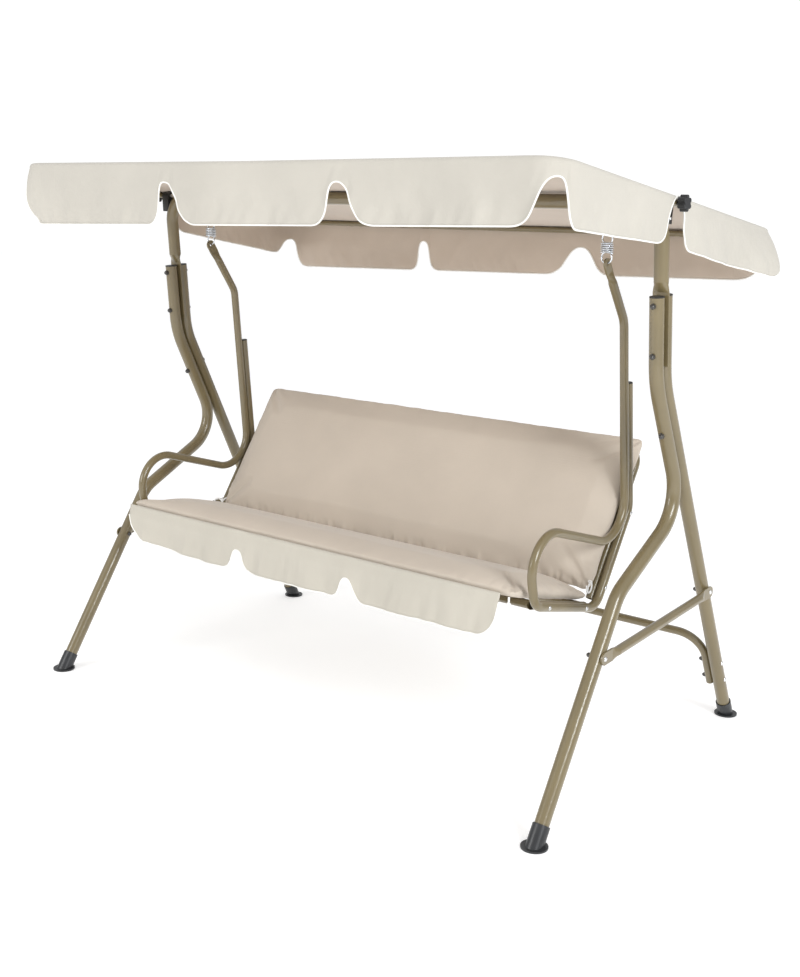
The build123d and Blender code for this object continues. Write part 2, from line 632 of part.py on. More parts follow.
def slats(plane, low, high):
    """Flat steel slats that lie across a frame, on its upper side."""
    with BuildPart() as group:
        with BuildSketch(plane.offset(slat_base)):
            with Locations((0, (low + high) / 2)):
                with GridLocations(SLAT_PITCH, 0, SLATS, 1):
                    RectangleRounded(SLAT_W, high - low + 2 * SLAT_OVER, SLAT_CORNER)
        extrude(amount=SLAT_T)
    return group.part


save(slats(seat_plane, FRONT_TUBE, REAR_TUBE), "seat_slats")
save(slats(back_plane, BACK_CROSS, BACK_TOP), "back_slats")

seat_bolt = screw_shape(SEAT_BOLT_R, 2 * SEAT_TUBE_D + THREAD_OUT, **seat_head)
seat_nut = cap_nut_shape(SEAT_BOLT_R + TOUCH, nut_r=6.2, height=9.5)
seat_heads, seat_nuts = [], []
for name, side in SIDES:
    for spot in RAIL_BOLTS + BACK_BOLTS:
        seat_heads.append(across(side * (SEAT_X + SEAT_TUBE_D / 2 + TOUCH), *spot))
        nut_x = side * (inner_x - SEAT_TUBE_D / 2 - TOUCH)
        seat_nuts.append(Plane(origin=(nut_x, *spot), z_dir=(-side, 0, 0)))
save(copies(seat_bolt, seat_heads), "seat_bolts")
save(copies(seat_nut, seat_nuts), "seat_nuts")

# ---------------------------------------------------------------- cushions
pad_base = slat_base + SLAT_T + PAD_GAP


def pad(plane, low, high, thickness):
    with BuildPart() as cushion:
        with BuildSketch(plane.offset(pad_base)):
            with Locations((0, (low + high) / 2)):
                RectangleRounded(CUSHION_W, high - low, PAD_ROUND)
        extrude(amount=thickness)
        fillet(cushion.faces().filter_by(plane).edges(), PAD_ROUND)
    return cushion.part


save(pad(seat_plane, SEAT_PAD_FRONT, SEAT_PAD_REAR, SEAT_PAD_T), "seat_cushion")
save(pad(back_plane, BACK_PAD_LOW, BACK_PAD_TOP, BACK_PAD_T), "back_cushion")


# a flap of cloth hangs in front of the seat frame, cut into three rounded tails
def bell(low, apex, half_width):
    """A bell-shaped gap that opens downwards, centred on X = 0."""
    below = low - half_width
    with BuildSketch() as face:
        with BuildLine():
            rise = Spline((-half_width, low), (0, apex), tangents=((1, 0), (1, 0)), tangent_scalars=BELL_FLARE)
            fall = Spline((half_width, low), (0, apex), tangents=((-1, 0), (-1, 0)), tangent_scalars=BELL_FLARE)
            Polyline(rise @ 0, (-half_width, below), (half_width, below), fall @ 0)
        make_face()
    return face.sketch


with BuildPart() as seat_valance:
    with BuildSketch(Plane(origin=(FLAP_X, FLAP_Y + CLOTH_T, 0), x_dir=(1, 0, 0), z_dir=(0, -1, 0))) as flap:
        with Locations((0, (FLAP_TOP_Z + FLAP_BOTTOM_Z) / 2)):
            Rectangle(FLAP_W, FLAP_TOP_Z - FLAP_BOTTOM_Z)
        fillet(flap.vertices().group_by(Axis.Y)[0], FLAP_CORNER)
        with Locations(*[(side * FLAP_NOTCH_X, 0) for _, side in SIDES]):
            add(bell(FLAP_BOTTOM_Z, FLAP_NOTCH_Z, FLAP_NOTCH_W), mode=Mode.SUBTRACT)
    extrude(amount=CLOTH_T)
save(seat_valance.part, "seat_valance")

# ---------------------------------------------------------------- cushion ties
pad_front = on(seat_plane, 0, SEAT_PAD_FRONT + 11, pad_base)
pad_side = on(back_plane, 0, BACK_PAD_LOW + 18, pad_base + 18)
FRONT_TIE = [(628, 0, 0), (629.5, -4, -17), (634, -3.5, -32), (635.5, 3, -47), (640, 4.5, -62)]
REAR_TIE = [(647, 0, 0), (655, -2, -5), (659, -9, -13), (657, -17, -22), (661, -22, -33)]


def tie_route(anchor, offsets, side):
    return [Vector(side * x, anchor.Y + y, anchor.Z + z) for x, y, z in offsets]


def tie_radii(points):
    """The largest arc that each corner's two straight runs allow."""
    radii = []
    for before, corner, after in zip(points, points[1:], points[2:]):
        turn = (corner - before).get_angle(after - corner)
        shorter = min((corner - before).length, (after - corner).length)
        radii.append(0.45 * shorter / tan(radians(turn) / 2))
    return radii


for place, anchor, offsets in (("front", pad_front, FRONT_TIE), ("rear", pad_side, REAR_TIE)):
    for name, side in SIDES:
        points = tie_route(anchor, offsets, side)
        radii = tie_radii(points)
        print(f"tie_{place}_{name} radii", [round(r, 1) for r in radii])
        with BuildPart() as tie:
            with BuildLine() as route:
                FilletPolyline(*points, radius=radii)
            with BuildSketch(Plane(origin=route.line @ 0, z_dir=route.line % 0)):
                Circle(TIE_D / 2)
            sweep()
        save(tie.part, f"tie_{place}_{name}")

# ---------------------------------------------------------------- canopy frame
canopy_up = Vector(0, sin(radians(CANOPY_TILT)), cos(radians(CANOPY_TILT)))
canopy_plane = Plane(origin=(0, BEAM_Y, BEAM_Z), x_dir=(1, 0, 0), z_dir=canopy_up)
bar_inset = CANOPY_TUBE_D / 2 + COVER_GAP + CLOTH_T
canopy_ends = [(edge / cos(radians(CANOPY_TILT))) for edge in
               (CANOPY_FRONT_Y + bar_inset - BEAM_Y, CANOPY_REAR_Y - bar_inset - BEAM_Y)]
PLUG_D = CANOPY_TUBE_D - 2 * CANOPY_WALL - 2 * WELD_GAP

for name, side in SIDES:
    x = side * CANOPY_RAIL_X
    with BuildPart() as canopy_rail:
        start = on(canopy_plane, x, CANOPY_JOINTS[0])
        add(straight_tube(start, on(canopy_plane, x, CANOPY_JOINTS[1]), CANOPY_TUBE_D, CANOPY_WALL))
        drill([across(x, BEAM_Y, BEAM_Z)], PIVOT_R + HOLE_CLEAR, CANOPY_TUBE_D + DRILL_OVER)
        for joint, inward in zip(CANOPY_JOINTS, (1, -1)):
            spot = on(canopy_plane, x - side * CANOPY_TUBE_D / 2, joint + inward * PLUG_L / 2)
            drill([Plane(origin=spot, z_dir=(side, 0, 0))], SCREW_R + WELD_GAP, SCREW_BITE)
    save(canopy_rail.part, f"canopy_rail_{name}")

screw_planes = []
for bar_name, joint, inward, end in zip(("front", "rear"), CANOPY_JOINTS, (1, -1), canopy_ends):
    with BuildPart() as canopy_bar:
        corners = [(side * CANOPY_RAIL_X, t) for side, t in ((-1, joint), (-1, end), (1, end), (1, joint))]
        add(bent_tube(canopy_plane, corners, CANOPY_CORNER, CANOPY_TUBE_D, CANOPY_WALL))
        for name, side in SIDES:
            mouth = on(canopy_plane, side * CANOPY_RAIL_X, joint)
            with BuildSketch(Plane(origin=mouth, z_dir=canopy_plane.y_dir * inward)):
                ring(PLUG_D, CANOPY_WALL)
            extrude(amount=PLUG_L)
            with BuildSketch(Plane(origin=mouth, z_dir=canopy_plane.y_dir * -inward)):
                ring(CANOPY_TUBE_D - CANOPY_WALL, (CANOPY_TUBE_D - CANOPY_WALL - PLUG_D) / 2 + CANOPY_WALL)
            extrude(amount=SHOULDER_L)
            inner_side = side * (CANOPY_RAIL_X - CANOPY_TUBE_D / 2)
            spot = on(canopy_plane, inner_side, joint + inward * PLUG_L / 2)
            drill([Plane(origin=spot, z_dir=(side, 0, 0))], SCREW_R + WELD_GAP, SCREW_BITE)
            screw_planes.append(Plane(origin=spot - (side * TOUCH, 0, 0), z_dir=(-side, 0, 0)))
    save(canopy_bar.part, f"canopy_{bar_name}_bar")
frame_screw = screw_shape(SCREW_R, SCREW_BITE - 1, SCREW_HEAD_R, SCREW_HEAD_H)
save(copies(frame_screw, screw_planes), "canopy_frame_screws")

# ---------------------------------------------------------------- canopy lugs, pivot bolts and knobs
lug_outer = FRAME_X + BEAM_D / 2 + LUG_OUT
lug_inner = lug_outer - LUG_DEPTH
rail_outer = CANOPY_RAIL_X + CANOPY_TUBE_D / 2
knob_start = rail_outer + 1.0
bend_x = FRAME_X - BEAM_BEND
bend_z = BEAM_Z - BEAM_BEND * beam_up.Z

lug_screw_planes = []
for name, side in SIDES:
    # a block that saddles the outer side of the beam's bend
    with BuildPart() as canopy_lug:
        with BuildSketch(Plane(origin=(side * lug_outer, BEAM_Y, BEAM_Z), x_dir=(0, 1, 0), z_dir=(1, 0, 0))):
            with BuildLine():
                low = LUG_LOW_Z - BEAM_Z
                Polyline((LUG_W / 2, 0), (LUG_LOW_W / 2, low), (-LUG_LOW_W / 2, low), (-LUG_W / 2, 0))
                ThreePointArc((-LUG_W / 2, 0), (0, LUG_W / 2), (LUG_W / 2, 0))
            make_face()
        extrude(amount=-side * LUG_DEPTH)
        with BuildSketch(Plane(origin=beam_point(side * FRAME_X, bend_z), z_dir=beam_up)):
            Circle(BEAM_D / 2 + WELD_GAP)
        revolve(axis=Axis(beam_point(side * bend_x, bend_z), Vector(0, beam_up.Z, -beam_up.Y)), mode=Mode.SUBTRACT)
        drill([across(side * lug_outer, BEAM_Y, BEAM_Z)], PIVOT_R + HOLE_CLEAR, 3 * LUG_DEPTH)
        screw_spot = across(side * lug_outer, y_at(beam_line, LUG_SCREW_Z), LUG_SCREW_Z)
        drill([screw_spot], SCREW_R + HOLE_CLEAR, 3 * LUG_DEPTH)
    save(canopy_lug.part, f"canopy_lug_{name}")
    lug_screw_planes.append(screw_spot.offset(TOUCH))

    with BuildPart() as canopy_bolt:
        head = Plane(origin=(side * (lug_inner - TOUCH), BEAM_Y, BEAM_Z), z_dir=(-side, 0, 0))
        with BuildSketch(head):
            RegularPolygon(PIVOT_HEAD_R, 6)
        extrude(amount=PIVOT_HEAD_H)
        with BuildSketch(head):
            Circle(PIVOT_R)
        extrude(amount=-(knob_start + KNOB_L - 5 - lug_inner))
    save(canopy_bolt.part, f"canopy_bolt_{name}")

    with BuildPart() as knob:
        knob_base = Plane(origin=(side * knob_start, BEAM_Y, BEAM_Z), z_dir=(side, 0, 0))
        with BuildSketch(knob_base):
            Circle(KNOB_HUB_R)
        extrude(amount=KNOB_HUB_L)
        with BuildSketch(knob_base.offset(KNOB_HUB_L)):
            Circle(KNOB_R * 0.72)
            with PolarLocations(KNOB_R * 0.7, KNOB_LOBES):
                Circle(KNOB_R * 0.3)
        extrude(amount=KNOB_L - KNOB_HUB_L)
        fillet(knob.faces().sort_by(Axis.X)[-1 if side > 0 else 0].edges(), KNOB_EDGE)
        with BuildSketch(knob_base):
            Circle(PIVOT_R + TOUCH)
        extrude(amount=KNOB_L - 4, mode=Mode.SUBTRACT)
    save(knob.part, f"canopy_knob_{name}")
lug_screw = screw_shape(SCREW_R, LUG_DEPTH - DRILL_OVER, SCREW_HEAD_R, SCREW_HEAD_H)
save(copies(lug_screw, lug_screw_planes), "lug_screws")

# ---------------------------------------------------------------- canopy cover
cover_x = rail_outer + COVER_GAP + CLOTH_T
cover_y = (CANOPY_FRONT_Y + CANOPY_REAR_Y) / 2
BEYOND = 1000.0              # a cut that passes the whole cover
GAP_REACH = 40.0             # a gap's cutter, to each side of the cloth


def roof_point(t, rise):
    spot = on(canopy_plane, 0, t, rise)
    return (spot.Y, spot.Z)


def cover_block(inset):
    """The space under the roof cloth's outer side, or that far inside it."""
    front = CANOPY_FRONT_Y + inset
    rear = CANOPY_REAR_Y - inset
    front_bar = roof_point(canopy_ends[0], CANOPY_EDGE - inset)
    crown = roof_point(0, CANOPY_CROWN - inset)
    rear_bar = roof_point(canopy_ends[1], CANOPY_EDGE - inset)
    peak = (front, y_at([line[::-1] for line in (front_bar, crown)], front))
    drop = (rear, y_at([line[::-1] for line in (crown, rear_bar)], rear))
    with BuildPart() as block:
        with BuildSketch(Plane.XY.offset(COVER_DEEP)) as plan:
            with Locations((0, cover_y)):
                RectangleRounded(2 * (cover_x - inset), rear - front, CANOPY_CORNER + bar_inset - inset)
        extrude(amount=COVER_HIGH - COVER_DEEP)
        with BuildSketch(side_plane(-BEYOND)) as profile:
            with BuildLine():
                FilletPolyline((front, COVER_DEEP), peak, crown, drop, (rear, COVER_DEEP),
                               radius=[bar_inset - inset, CROWN_BEND, bar_inset - inset])
                Line((rear, COVER_DEEP), (front, COVER_DEEP))
            make_face()
        extrude(amount=2 * BEYOND, mode=Mode.INTERSECT)
    return block.part


def gap_cutter(plane, low, apex, half_width, reach=2 * GAP_REACH):
    """A bell-shaped bar that runs along the plane's normal from its origin."""
    with BuildPart() as cutter:
        with BuildSketch(plane):
            add(bell(low, apex, half_width))
        extrude(amount=reach)
    return cutter.part


hem = [(CANOPY_FRONT_Y - 50, VALANCE_FRONT_Z), (CANOPY_FRONT_Y, VALANCE_FRONT_Z), (BEAM_Y, VALANCE_MID_Z),
       (CANOPY_REAR_Y, VALANCE_REAR_Z), (CANOPY_REAR_Y + 50, VALANCE_REAR_Z)]

with BuildPart() as canopy_fabric:
    add(cover_block(0))
    add(cover_block(CLOTH_T), mode=Mode.SUBTRACT)
    with BuildSketch(side_plane(-BEYOND)):
        with BuildLine():
            Polyline(*hem, (hem[-1][0], COVER_DEEP - 10), (hem[0][0], COVER_DEEP - 10), close=True)
        make_face()
    extrude(amount=2 * BEYOND, mode=Mode.SUBTRACT)
    for _, side in SIDES:
        front_gap = Plane(origin=(side * GAP_X, CANOPY_FRONT_Y + GAP_REACH, 0), x_dir=(1, 0, 0), z_dir=(0, -1, 0))
        add(gap_cutter(front_gap, VALANCE_FRONT_Z, GAP_FRONT_Z, GAP_FRONT_W), mode=Mode.SUBTRACT)
        rear_gap = Plane(origin=(side * GAP_X, CANOPY_REAR_Y - GAP_REACH, 0), x_dir=(-1, 0, 0), z_dir=(0, 1, 0))
        add(gap_cutter(rear_gap, VALANCE_REAR_Z, GAP_REAR_Z, GAP_REAR_W), mode=Mode.SUBTRACT)
        side_gap = Plane(origin=(side * (cover_x - GAP_REACH), BEAM_Y, 0), x_dir=(0, side, 0), z_dir=(side, 0, 0))
        add(gap_cutter(side_gap, VALANCE_MID_Z, GAP_SIDE_Z, GAP_SIDE_W), mode=Mode.SUBTRACT)
        for edge_y, way, low, apex in ((CANOPY_FRONT_Y, -1, VALANCE_FRONT_Z, CORNER_FRONT_Z),
                                       (CANOPY_REAR_Y, 1, VALANCE_REAR_Z, CORNER_REAR_Z)):
            inside = Vector(side * (cover_x - 2 * GAP_REACH), edge_y - way * 2 * GAP_REACH, 0)
            corner_gap = Plane(origin=inside, x_dir=(-way, side, 0), z_dir=(side, way, 0))
            add(gap_cutter(corner_gap, low, apex, CORNER_GAP_W, 5 * GAP_REACH), mode=Mode.SUBTRACT)
save(canopy_fabric.part, "canopy_fabric")
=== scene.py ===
import json
from math import cos, hypot, pi, radians, sin, sqrt

import bmesh
import bpy
from mathutils import Matrix, Vector, noise


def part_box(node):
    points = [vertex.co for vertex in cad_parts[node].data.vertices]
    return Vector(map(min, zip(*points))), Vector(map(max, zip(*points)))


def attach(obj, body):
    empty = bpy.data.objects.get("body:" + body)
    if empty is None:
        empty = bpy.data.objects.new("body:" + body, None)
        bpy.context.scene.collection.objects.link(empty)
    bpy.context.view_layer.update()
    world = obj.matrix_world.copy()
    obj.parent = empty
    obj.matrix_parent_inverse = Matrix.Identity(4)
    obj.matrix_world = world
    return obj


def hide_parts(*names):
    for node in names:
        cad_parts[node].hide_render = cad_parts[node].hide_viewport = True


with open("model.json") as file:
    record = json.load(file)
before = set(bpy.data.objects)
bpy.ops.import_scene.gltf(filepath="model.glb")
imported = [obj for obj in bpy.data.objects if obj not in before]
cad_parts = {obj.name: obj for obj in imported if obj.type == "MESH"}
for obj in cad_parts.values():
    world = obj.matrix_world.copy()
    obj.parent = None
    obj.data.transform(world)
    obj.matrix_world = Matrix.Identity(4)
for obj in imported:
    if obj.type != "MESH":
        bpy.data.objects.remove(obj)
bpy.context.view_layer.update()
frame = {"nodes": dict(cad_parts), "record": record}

scene = bpy.context.scene
SIDES = (("left", -1), ("right", 1))


def add_object(name, data):
    piece = bpy.data.objects.new(name, data)
    scene.collection.objects.link(piece)
    return piece


# ---------------------------------------------------------------- camera
CAMERA_AT = Vector((2.1519, -2.6685, 1.3527))
CAMERA_AZIMUTH = 37.806      # turned from straight in front towards +X
CAMERA_HEIGHT_ANGLE = 10.045
CAMERA_ROLL = 1.383
CAMERA_LENS = 46.30
CAMERA_SHIFT = (-0.00836, -0.0522)
CAMERA_CLIP = 0.05


def make_camera():
    azimuth, elevation, roll = (radians(a) for a in (CAMERA_AZIMUTH, CAMERA_HEIGHT_ANGLE, CAMERA_ROLL))
    back = Vector((sin(azimuth) * cos(elevation), -cos(azimuth) * cos(elevation), sin(elevation)))
    right = (-back).cross(Vector((0, 0, 1))).normalized()
    up = right.cross(-back)
    rolled_right = right * cos(roll) + up * sin(roll)
    rolled_up = up * cos(roll) - right * sin(roll)
    data = bpy.data.cameras.new("camera")
    data.lens = CAMERA_LENS
    data.shift_x, data.shift_y = CAMERA_SHIFT
    data.clip_start = CAMERA_CLIP
    camera = add_object("camera", data)
    turn = Matrix((rolled_right, rolled_up, back)).transposed().to_4x4()
    camera.matrix_world = Matrix.Translation(CAMERA_AT) @ turn
    scene.camera = camera


make_camera()


# ---------------------------------------------------------------- materials
def node_material(name):
    """A new material, with its nodes, links and main shader."""
    material = bpy.data.materials.new(name)
    material.use_nodes = True
    nodes = material.node_tree.nodes
    return material, nodes, material.node_tree.links, nodes["Principled BSDF"]


def noise_node(nodes, links, scale, detail=3.0, stretch=(1, 1, 1)):
    """A noise texture in object space, stretched along the axes if asked."""
    coords = nodes.new("ShaderNodeTexCoord")
    mapping = nodes.new("ShaderNodeMapping")
    mapping.inputs["Scale"].default_value = stretch
    texture = nodes.new("ShaderNodeTexNoise")
    texture.inputs["Scale"].default_value = scale
    texture.inputs["Detail"].default_value = detail
    links.new(coords.outputs["Object"], mapping.inputs["Vector"])
    links.new(mapping.outputs["Vector"], texture.inputs["Vector"])
    return texture


def ramp_node(nodes, links, source, low, high, start=0.35, end=0.65):
    """A colour that runs from low to high while the source runs from start to end."""
    ramp = nodes.new("ShaderNodeValToRGB")
    ramp.color_ramp.elements[0].position = start
    ramp.color_ramp.elements[1].position = end
    ramp.color_ramp.elements[0].color = (*low, 1)
    ramp.color_ramp.elements[1].color = (*high, 1)
    links.new(source, ramp.inputs["Fac"])
    return ramp.outputs["Color"]


def range_node(nodes, links, source, low, high):
    """The source, from 0 to 1, spread between low and high."""
    mapped = nodes.new("ShaderNodeMapRange")
    mapped.inputs["To Min"].default_value = low
    mapped.inputs["To Max"].default_value = high
    links.new(source, mapped.inputs["Value"])
    return mapped.outputs["Result"]


def bump_node(nodes, links, height, strength, distance, under=None):
    """A bump of the given height in metres, over another bump if there is one."""
    bump = nodes.new("ShaderNodeBump")
    bump.inputs["Strength"].default_value = strength
    bump.inputs["Distance"].default_value = distance
    links.new(height, bump.inputs["Height"])
    if under:
        links.new(under, bump.inputs["Normal"])
    return bump.outputs["Normal"]


def tinted(colour, factor):
    """The colour made lighter or darker."""
    return tuple(min(1.0, c * factor) for c in colour)


def paint(name, colour, roughness, coat, spread=0.07):
    """Powder coat: faint mottling, orange peel, and a clear gloss."""
    material, nodes, links, shader = node_material(name)
    mottle = noise_node(nodes, links, 7.0, 4.0)
    fine = noise_node(nodes, links, 900.0, 2.0)
    low, high = tinted(colour, 1 - spread), tinted(colour, 1 + spread)
    links.new(ramp_node(nodes, links, mottle.outputs["Fac"], low, high), shader.inputs["Base Color"])
    rough = range_node(nodes, links, mottle.outputs["Fac"], roughness * 0.85, roughness * 1.2)
    links.new(rough, shader.inputs["Roughness"])
    links.new(bump_node(nodes, links, fine.outputs["Fac"], 0.10, 0.0004), shader.inputs["Normal"])
    shader.inputs["Coat Weight"].default_value = coat
    shader.inputs["Coat Roughness"].default_value = 0.12
    return material


def plastic(name, colour, roughness, grain):
    """Moulded plastic: a cloudy tone and a fine grain."""
    material, nodes, links, shader = node_material(name)
    texture = noise_node(nodes, links, 1400.0, 2.0)
    cloud = noise_node(nodes, links, 25.0, 3.0)
    low, high = tinted(colour, 0.85), tinted(colour, 1.25)
    links.new(ramp_node(nodes, links, cloud.outputs["Fac"], low, high), shader.inputs["Base Color"])
    rough = range_node(nodes, links, cloud.outputs["Fac"], roughness * 0.85, roughness * 1.2)
    links.new(rough, shader.inputs["Roughness"])
    links.new(bump_node(nodes, links, texture.outputs["Fac"], grain, 0.0003), shader.inputs["Normal"])
    return material


def zinc(name, colour, roughness):
    """Bright zinc plate: metallic, with fine drawing lines and a cloudy tone."""
    material, nodes, links, shader = node_material(name)
    cloud = noise_node(nodes, links, 60.0, 4.0)
    lines = noise_node(nodes, links, 500.0, 3.0, (1, 1, 0.15))
    low, high = tinted(colour, 0.78), tinted(colour, 1.15)
    links.new(ramp_node(nodes, links, cloud.outputs["Fac"], low, high), shader.inputs["Base Color"])
    rough = range_node(nodes, links, cloud.outputs["Fac"], roughness * 0.7, roughness * 1.4)
    links.new(rough, shader.inputs["Roughness"])
    links.new(bump_node(nodes, links, lines.outputs["Fac"], 0.12, 0.0003), shader.inputs["Normal"])
    shader.inputs["Metallic"].default_value = 1.0
    return material


def cloth(name, colour, weave_scale=75.0, rough=0.85, wrinkle=0.25, stretch=(1, 1, 1)):
    """Woven cloth: crossed threads, soft creases, a little uneven dye, and sheen."""
    material, nodes, links, shader = node_material(name)
    coords = nodes.new("ShaderNodeTexCoord")
    threads = []
    for direction in ("X", "Y", "Z"):
        wave = nodes.new("ShaderNodeTexWave")
        wave.bands_direction = direction
        wave.inputs["Scale"].default_value = weave_scale
        wave.inputs["Distortion"].default_value = 0.6
        wave.inputs["Detail"].default_value = 1.0
        links.new(coords.outputs["Object"], wave.inputs["Vector"])
        threads.append(wave.outputs["Fac"])
    crossed = nodes.new("ShaderNodeMath")
    crossed.operation = "MULTIPLY"
    links.new(threads[0], crossed.inputs[0])
    links.new(threads[2], crossed.inputs[1])
    weave = nodes.new("ShaderNodeMath")
    weave.operation = "ADD"
    links.new(crossed.outputs[0], weave.inputs[0])
    links.new(threads[1], weave.inputs[1])
    dye = noise_node(nodes, links, 3.2, 5.0)
    crease = noise_node(nodes, links, 9.0, 5.0, stretch)
    links.new(ramp_node(nodes, links, dye.outputs["Fac"], tinted(colour, 0.95), tinted(colour, 1.04)),
              shader.inputs["Base Color"])
    uneven = range_node(nodes, links, dye.outputs["Fac"], rough - 0.06, rough + 0.06)
    links.new(uneven, shader.inputs["Roughness"])
    creased = bump_node(nodes, links, crease.outputs["Fac"], wrinkle, 0.012)
    links.new(bump_node(nodes, links, weave.outputs[0], 0.12, 0.0003, creased), shader.inputs["Normal"])
    shader.inputs["Sheen Weight"].default_value = 0.25
    shader.inputs["Sheen Roughness"].default_value = 0.5
    shader.inputs["Specular IOR Level"].default_value = 0.25
    return material


TAUPE = (0.176, 0.138, 0.068)
CREAM = (0.515, 0.487, 0.43)
CREAM_FLAP = (0.51, 0.478, 0.41)
INSIDE = (0.55, 0.465, 0.385)
SAND = (0.57, 0.50, 0.42)
WHITE = (0.86, 0.85, 0.81)
TIE_WHITE = (0.87, 0.87, 0.86)
BLACK = (0.018, 0.018, 0.018)
DARK_NUT = (0.045, 0.042, 0.038)
FOOT_BLACK = (0.022, 0.023, 0.025)
CAP_BLACK = (0.012, 0.012, 0.012)
KNOB_BLACK = (0.013, 0.013, 0.014)
ZINC = (0.72, 0.72, 0.72)
ZINC_BLUE = (0.66, 0.69, 0.73)

frame_paint = paint("frame_paint", TAUPE, 0.30, 0.55)
slat_paint = paint("slat_paint", tinted(TAUPE, 0.95), 0.36, 0.35)
lug_paint = paint("lug_paint", BLACK, 0.38, 0.2)
dark_nut = paint("dark_nut", DARK_NUT, 0.28, 0.4)
foot_plastic = plastic("foot_plastic", FOOT_BLACK, 0.32, 0.15)
cap_plastic = plastic("cap_plastic", CAP_BLACK, 0.45, 0.2)
knob_plastic = plastic("knob_plastic", KNOB_BLACK, 0.42, 0.25)
zinc_screw = zinc("zinc_screw", ZINC, 0.25)
spring_zinc = zinc("spring_zinc", ZINC_BLUE, 0.22)
canopy_cloth = cloth("canopy_cloth", CREAM, wrinkle=0.45)
canopy_inside = cloth("canopy_inside", INSIDE)
cushion_cloth = cloth("cushion_cloth", SAND, wrinkle=0.28)
flap_cloth = cloth("flap_cloth", CREAM_FLAP, wrinkle=0.5, stretch=(1.6, 1, 0.5))
piping_cloth = cloth("piping_cloth", WHITE, weave_scale=150.0, wrinkle=0.05)
tie_cloth = cloth("tie_cloth", TIE_WHITE, weave_scale=150.0, wrinkle=0.05)

NODE_MATERIALS = {
    "frame_paint": frame_paint, "slat_paint": slat_paint, "lug_paint": lug_paint, "dark_nut": dark_nut,
    "foot_plastic": foot_plastic, "cap_plastic": cap_plastic, "knob_plastic": knob_plastic,
    "zinc_screw": zinc_screw, "spring_zinc": spring_zinc, "canopy_cloth": canopy_cloth,
    "cushion_cloth": cushion_cloth, "valance_cloth": flap_cloth, "tie_cord": tie_cloth,
}


def dress_cad_nodes():
    """Puts the material of each part's slot on its CAD node."""
    for part in frame["record"]["subparts"]:
        node = frame["nodes"][part["node"]]
        for place in node.material_slots:
            place.link = "OBJECT"
            place.material = NODE_MATERIALS[part["material_slot"]]


dress_cad_nodes()


# ---------------------------------------------------------------- mesh helpers
CLOTH_T = 0.0012             # thickness of a single cloth
BELL_FLARE = (1.5, 1.0)      # how far a gap's flank runs flat at the hem, and at the apex


def make_mesh(name, points, faces, materials, smooth=True):
    mesh = bpy.data.meshes.new(name)
    mesh.from_pydata([tuple(p) for p in points], [], faces)
    mesh.update()
    for material in materials:
        mesh.materials.append(material)
    if smooth:
        mesh.polygons.foreach_set("use_smooth", [True] * len(mesh.polygons))
    return add_object(name, mesh)


def grid_faces(columns, rows, closed):
    """Faces of a sheet whose points were made column by column."""
    faces = []
    for c in range(columns if closed else columns - 1):
        after = (c + 1) % columns
        for r in range(rows - 1):
            faces.append((c * rows + r, after * rows + r, after * rows + r + 1, c * rows + r + 1))
    return faces


def thicken(sheet):
    """Gives a sheet the cloth's thickness, half to each side."""
    shell = sheet.modifiers.new("thickness", "SOLIDIFY")
    shell.thickness = CLOTH_T
    shell.offset = 0.0
    return shell


def make_cord(name, points, radius, material, closed=False):
    """A round cord whose centre line is a smooth curve that the points steer."""
    curve = bpy.data.curves.new(name, "CURVE")
    curve.dimensions = "3D"
    curve.bevel_depth = radius
    curve.bevel_resolution = 4
    curve.use_fill_caps = True
    spline = curve.splines.new("NURBS")
    spline.points.add(len(points) - 1)
    for place, point in zip(spline.points, points):
        place.co = (*point, 1)
    spline.order_u = 3
    spline.use_cyclic_u = closed
    spline.use_endpoint_u = not closed
    curve.resolution_u = 6
    curve.materials.append(material)
    return add_object(name, curve)


def smooth_step(value, low, high):
    """0 up to low, 1 from high on, and a smooth rise between them."""
    t = min(1.0, max(0.0, (value - low) / (high - low)))
    return t * t * (3 - 2 * t)


def bell(t, half_width, rise):
    """Half of a bell-shaped gap, from the hem (t = 0) to the apex (t = 1)."""
    flare_low, flare_high = BELL_FLARE
    chord = hypot(half_width, rise)
    x = (-half_width * (2 * t ** 3 - 3 * t ** 2 + 1) + flare_low * chord * (t ** 3 - 2 * t ** 2 + t)
         + flare_high * chord * (t ** 3 - t ** 2))
    return x, rise * (3 * t ** 2 - 2 * t ** 3)


# ---------------------------------------------------------------- cushion ties
TIE_D = 0.005
FRONT_TIE = [(0.628, -0.3091, 0.4879), (0.6295, -0.3131, 0.4709), (0.634, -0.3126, 0.4559),
             (0.6355, -0.3061, 0.4409), (0.640, -0.3046, 0.4259)]
REAR_TIE = [(0.647, 0.0198, 0.4676), (0.655, 0.0178, 0.4626), (0.659, 0.0108, 0.4546),
            (0.657, 0.0028, 0.4456), (0.661, -0.0022, 0.4346)]
BOW_D = 0.0042
FRONT_BOW = [(0.6315, -0.3185, 0.4720), (0.6400, -0.3200, 0.4600), (0.6450, -0.3190, 0.4420),
             (0.6480, -0.3160, 0.4240), (0.6460, -0.3150, 0.4140), (0.6390, -0.3160, 0.4120),
             (0.6340, -0.3180, 0.4200), (0.6335, -0.3200, 0.4420)]
REAR_BOW = [(0.6590, 0.0085, 0.4600), (0.6640, 0.0020, 0.4670), (0.6710, -0.0030, 0.4660),
            (0.6750, -0.0070, 0.4560), (0.6740, -0.0110, 0.4440), (0.6690, -0.0140, 0.4380),
            (0.6640, -0.0140, 0.4440), (0.6620, -0.0110, 0.4560)]
